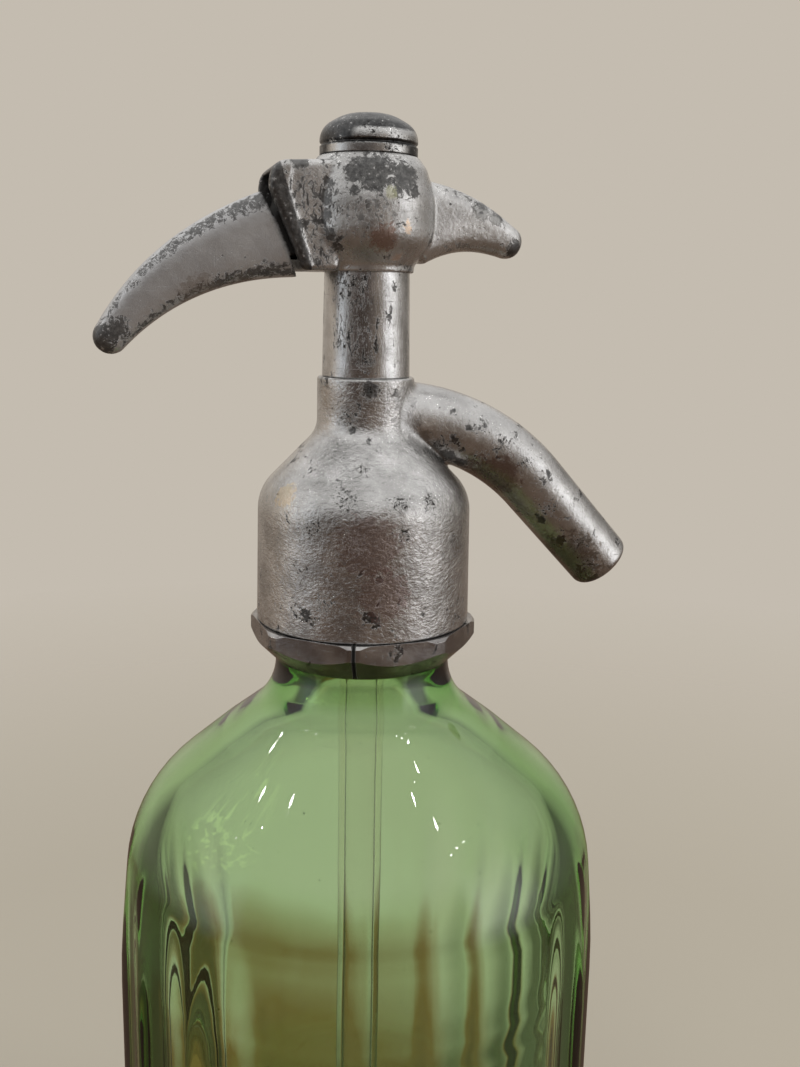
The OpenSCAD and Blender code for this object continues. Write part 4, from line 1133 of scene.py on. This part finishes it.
def makeRing():
    look = {
        "flats": 23.4, "seam": -107, "gap": 0.16, "wornAndLitEdge": 0.32, "profile": [(0, 197.5),
        (19.63, 197.5), (24.83, 202.7), (24.83, 205.3), (24.23, 205.9), (20.4, 205.9), (20.4, 220.9),
        (0, 220.9)], "bore": [(0, 196), (15.3, 196), (15.3, 213), (18.1, 213), (18.1, 222), (0, 222)]}
    corner = look["flats"] / math.cos(math.pi / 8)
    pickNone()
    bpy.ops.mesh.primitive_cylinder_add(vertices=8, radius=corner * mm, depth=40 * mm,
                                        location=(0, 0, 210 * mm))
    blank = bpy.context.object
    blank.name = "ringBlank"
    # a corner of the octagon stands on the saw cut
    first = math.degrees(math.atan2(blank.data.vertices[0].co.y, blank.data.vertices[0].co.x))
    editAll()
    shape = bmesh.from_edit_mesh(blank.data)
    spin = math.radians(look["seam"] - first)
    bmesh.ops.rotate(shape, verts=shape.verts, cent=(0, 0, 0), matrix=Matrix.Rotation(spin, 3, "Z"))
    bmesh.update_edit_mesh(blank.data)
    leaveEdit()
    settle(blank, 30)
    combine(blank, turned("ringProfile", points(look["profile"]), 256, 20), "INTERSECT")
    combine(blank, turned("ringBore", points(look["bore"]), 160, 20), "DIFFERENCE")
    halves = []
    seam = Vector((math.cos(math.radians(look["seam"])), math.sin(math.radians(look["seam"])), 0))
    across = Vector((-seam.y, seam.x, 0))
    for name, side, nodeName in (("ringRight", 1, "split_ring_right"), ("ringLeft", -1, "split_ring_left")):
        half = blank.copy()
        half.data = blank.data.copy()
        half.name = name
        bpy.context.scene.collection.objects.link(half)
        pickOnly(half)
        editAll()
        place = across * side * look["gap"] / 2 * mm
        bpy.ops.mesh.bisect(plane_co=place, plane_no=across * side, use_fill=True, clear_inner=True)
        leaveEdit()
        settle(half, 30)
        # the bevel faces take the lighter edge metal: wear, and a painted highlight
        wornAndLitBevel = addBevel(half, look["wornAndLitEdge"], 3, 24)
        wornAndLitBevel.use_clamp_overlap = True
        wornAndLitBevel.material = 1
        half.data.materials.append(ringMetal)
        half.data.materials.append(ringEdgeWearAndHighlight)
        applyAll(half)
        settle(half, 30)
        halves.append((half, nodeName))
    bpy.data.objects.remove(blank, do_unlink=True)
    return halves


for half, nodeName in makeRing():
    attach(half, "siphon")
    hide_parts(nodeName)
print("ring made")


# small pieces that keep their CAD shape

def plainLook(name, colour, shade, roughness, metallic, depth):
    made, shader = newMaterial(name)
    where = places()
    cloud = stretch(noise(where, 0.5, 6, 0.65), 0.35, 0.7)
    fine = noise(where, 3.0, 4, 0.6)
    fill(shader, {"Base Color": mix(cloud, colour, shade), "Metallic": metallic,
                        "Roughness": stretch(fine, 0.3, 0.7, roughness),
                        "Normal": relief(times(fine, depth))})
    return made


smallLooks = {
    "rubber": plainLook("black rubber", (0.03, 0.028, 0.026), (0.06, 0.055, 0.05), (0.6, 0.85), 0.0, 0.03),
    "leather": plainLook("greased leather", (0.05, 0.035, 0.024), (0.02, 0.014, 0.01), (0.5, 0.8),
                         0.0, 0.08),
    "brass": plainLook("dull brass", (0.6, 0.44, 0.2), (0.36, 0.25, 0.12), (0.25, 0.45), 1.0, 0.015),
    "spring_steel": plainLook("spring steel", (0.5, 0.5, 0.5), (0.32, 0.3, 0.28), (0.25, 0.4),
                              1.0, 0.01),
    "cast_pewter": plainLook("inner pewter", (0.5, 0.49, 0.47), (0.3, 0.29, 0.28), (0.3, 0.5), 1.0, 0.04),
}
keptSlots = {
    "neck_gasket": "rubber", "head_gasket": "rubber", "tube_sleeve": "rubber", "valve_washer": "rubber",
    "cup_washer": "leather", "cap_washer": "leather", "valve_seat": "brass", "piston_rod": "brass",
    "valve_screw": "brass", "packing_nut": "brass", "spring_washer": "brass", "tube_holder": "cast_pewter"}
for nodeName, slotName in keptSlots.items():
    dress(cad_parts[nodeName], smallLooks[slotName])


# return spring, made at the CAD spring's length; the real one shortens as the piston rises

def makeSpring():
    look = {"turns": 5, "middle": 5.2, "wire": 1.3, "stepsPerTurn": 30, "sides": 14, "travel": 2.926}
    low, high = (corner[2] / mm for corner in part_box("return_spring"))
    steps = look["turns"] * look["stepsPerTurn"]
    rise = high - low - look["wire"]
    slope = rise / (2 * math.pi * look["turns"] * look["middle"])
    rings = []
    for i in range(steps + 1):
        angle = 2 * math.pi * look["turns"] * i / steps
        out = Vector((math.cos(angle), math.sin(angle), 0))
        here = out * look["middle"] + Vector((0, 0, low + look["wire"] / 2 + rise * i / steps))
        way = Vector((-out.y, out.x, slope)).normalized()
        up = way.cross(out)
        row = []
        for k in range(look["sides"]):
            turn = 2 * math.pi * k / look["sides"]
            row.append(here + (out * math.cos(turn) + up * math.sin(turn)) * look["wire"] / 2)
        tip = [here] * look["sides"]
        rings += [tip, row] if i == 0 else [row, tip] if i == steps else [row]
    spring = lofted("returnSpring", rings, 50)
    dress(spring, smallLooks["spring_steel"])
    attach(spring, "siphon")
    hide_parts("return_spring")
    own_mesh(spring)


makeSpring()
print("small pieces dressed")

# view settings and a last update

settings = bpy.context.scene.view_settings
settings.view_transform = "Standard"
bpy.context.view_layer.update()
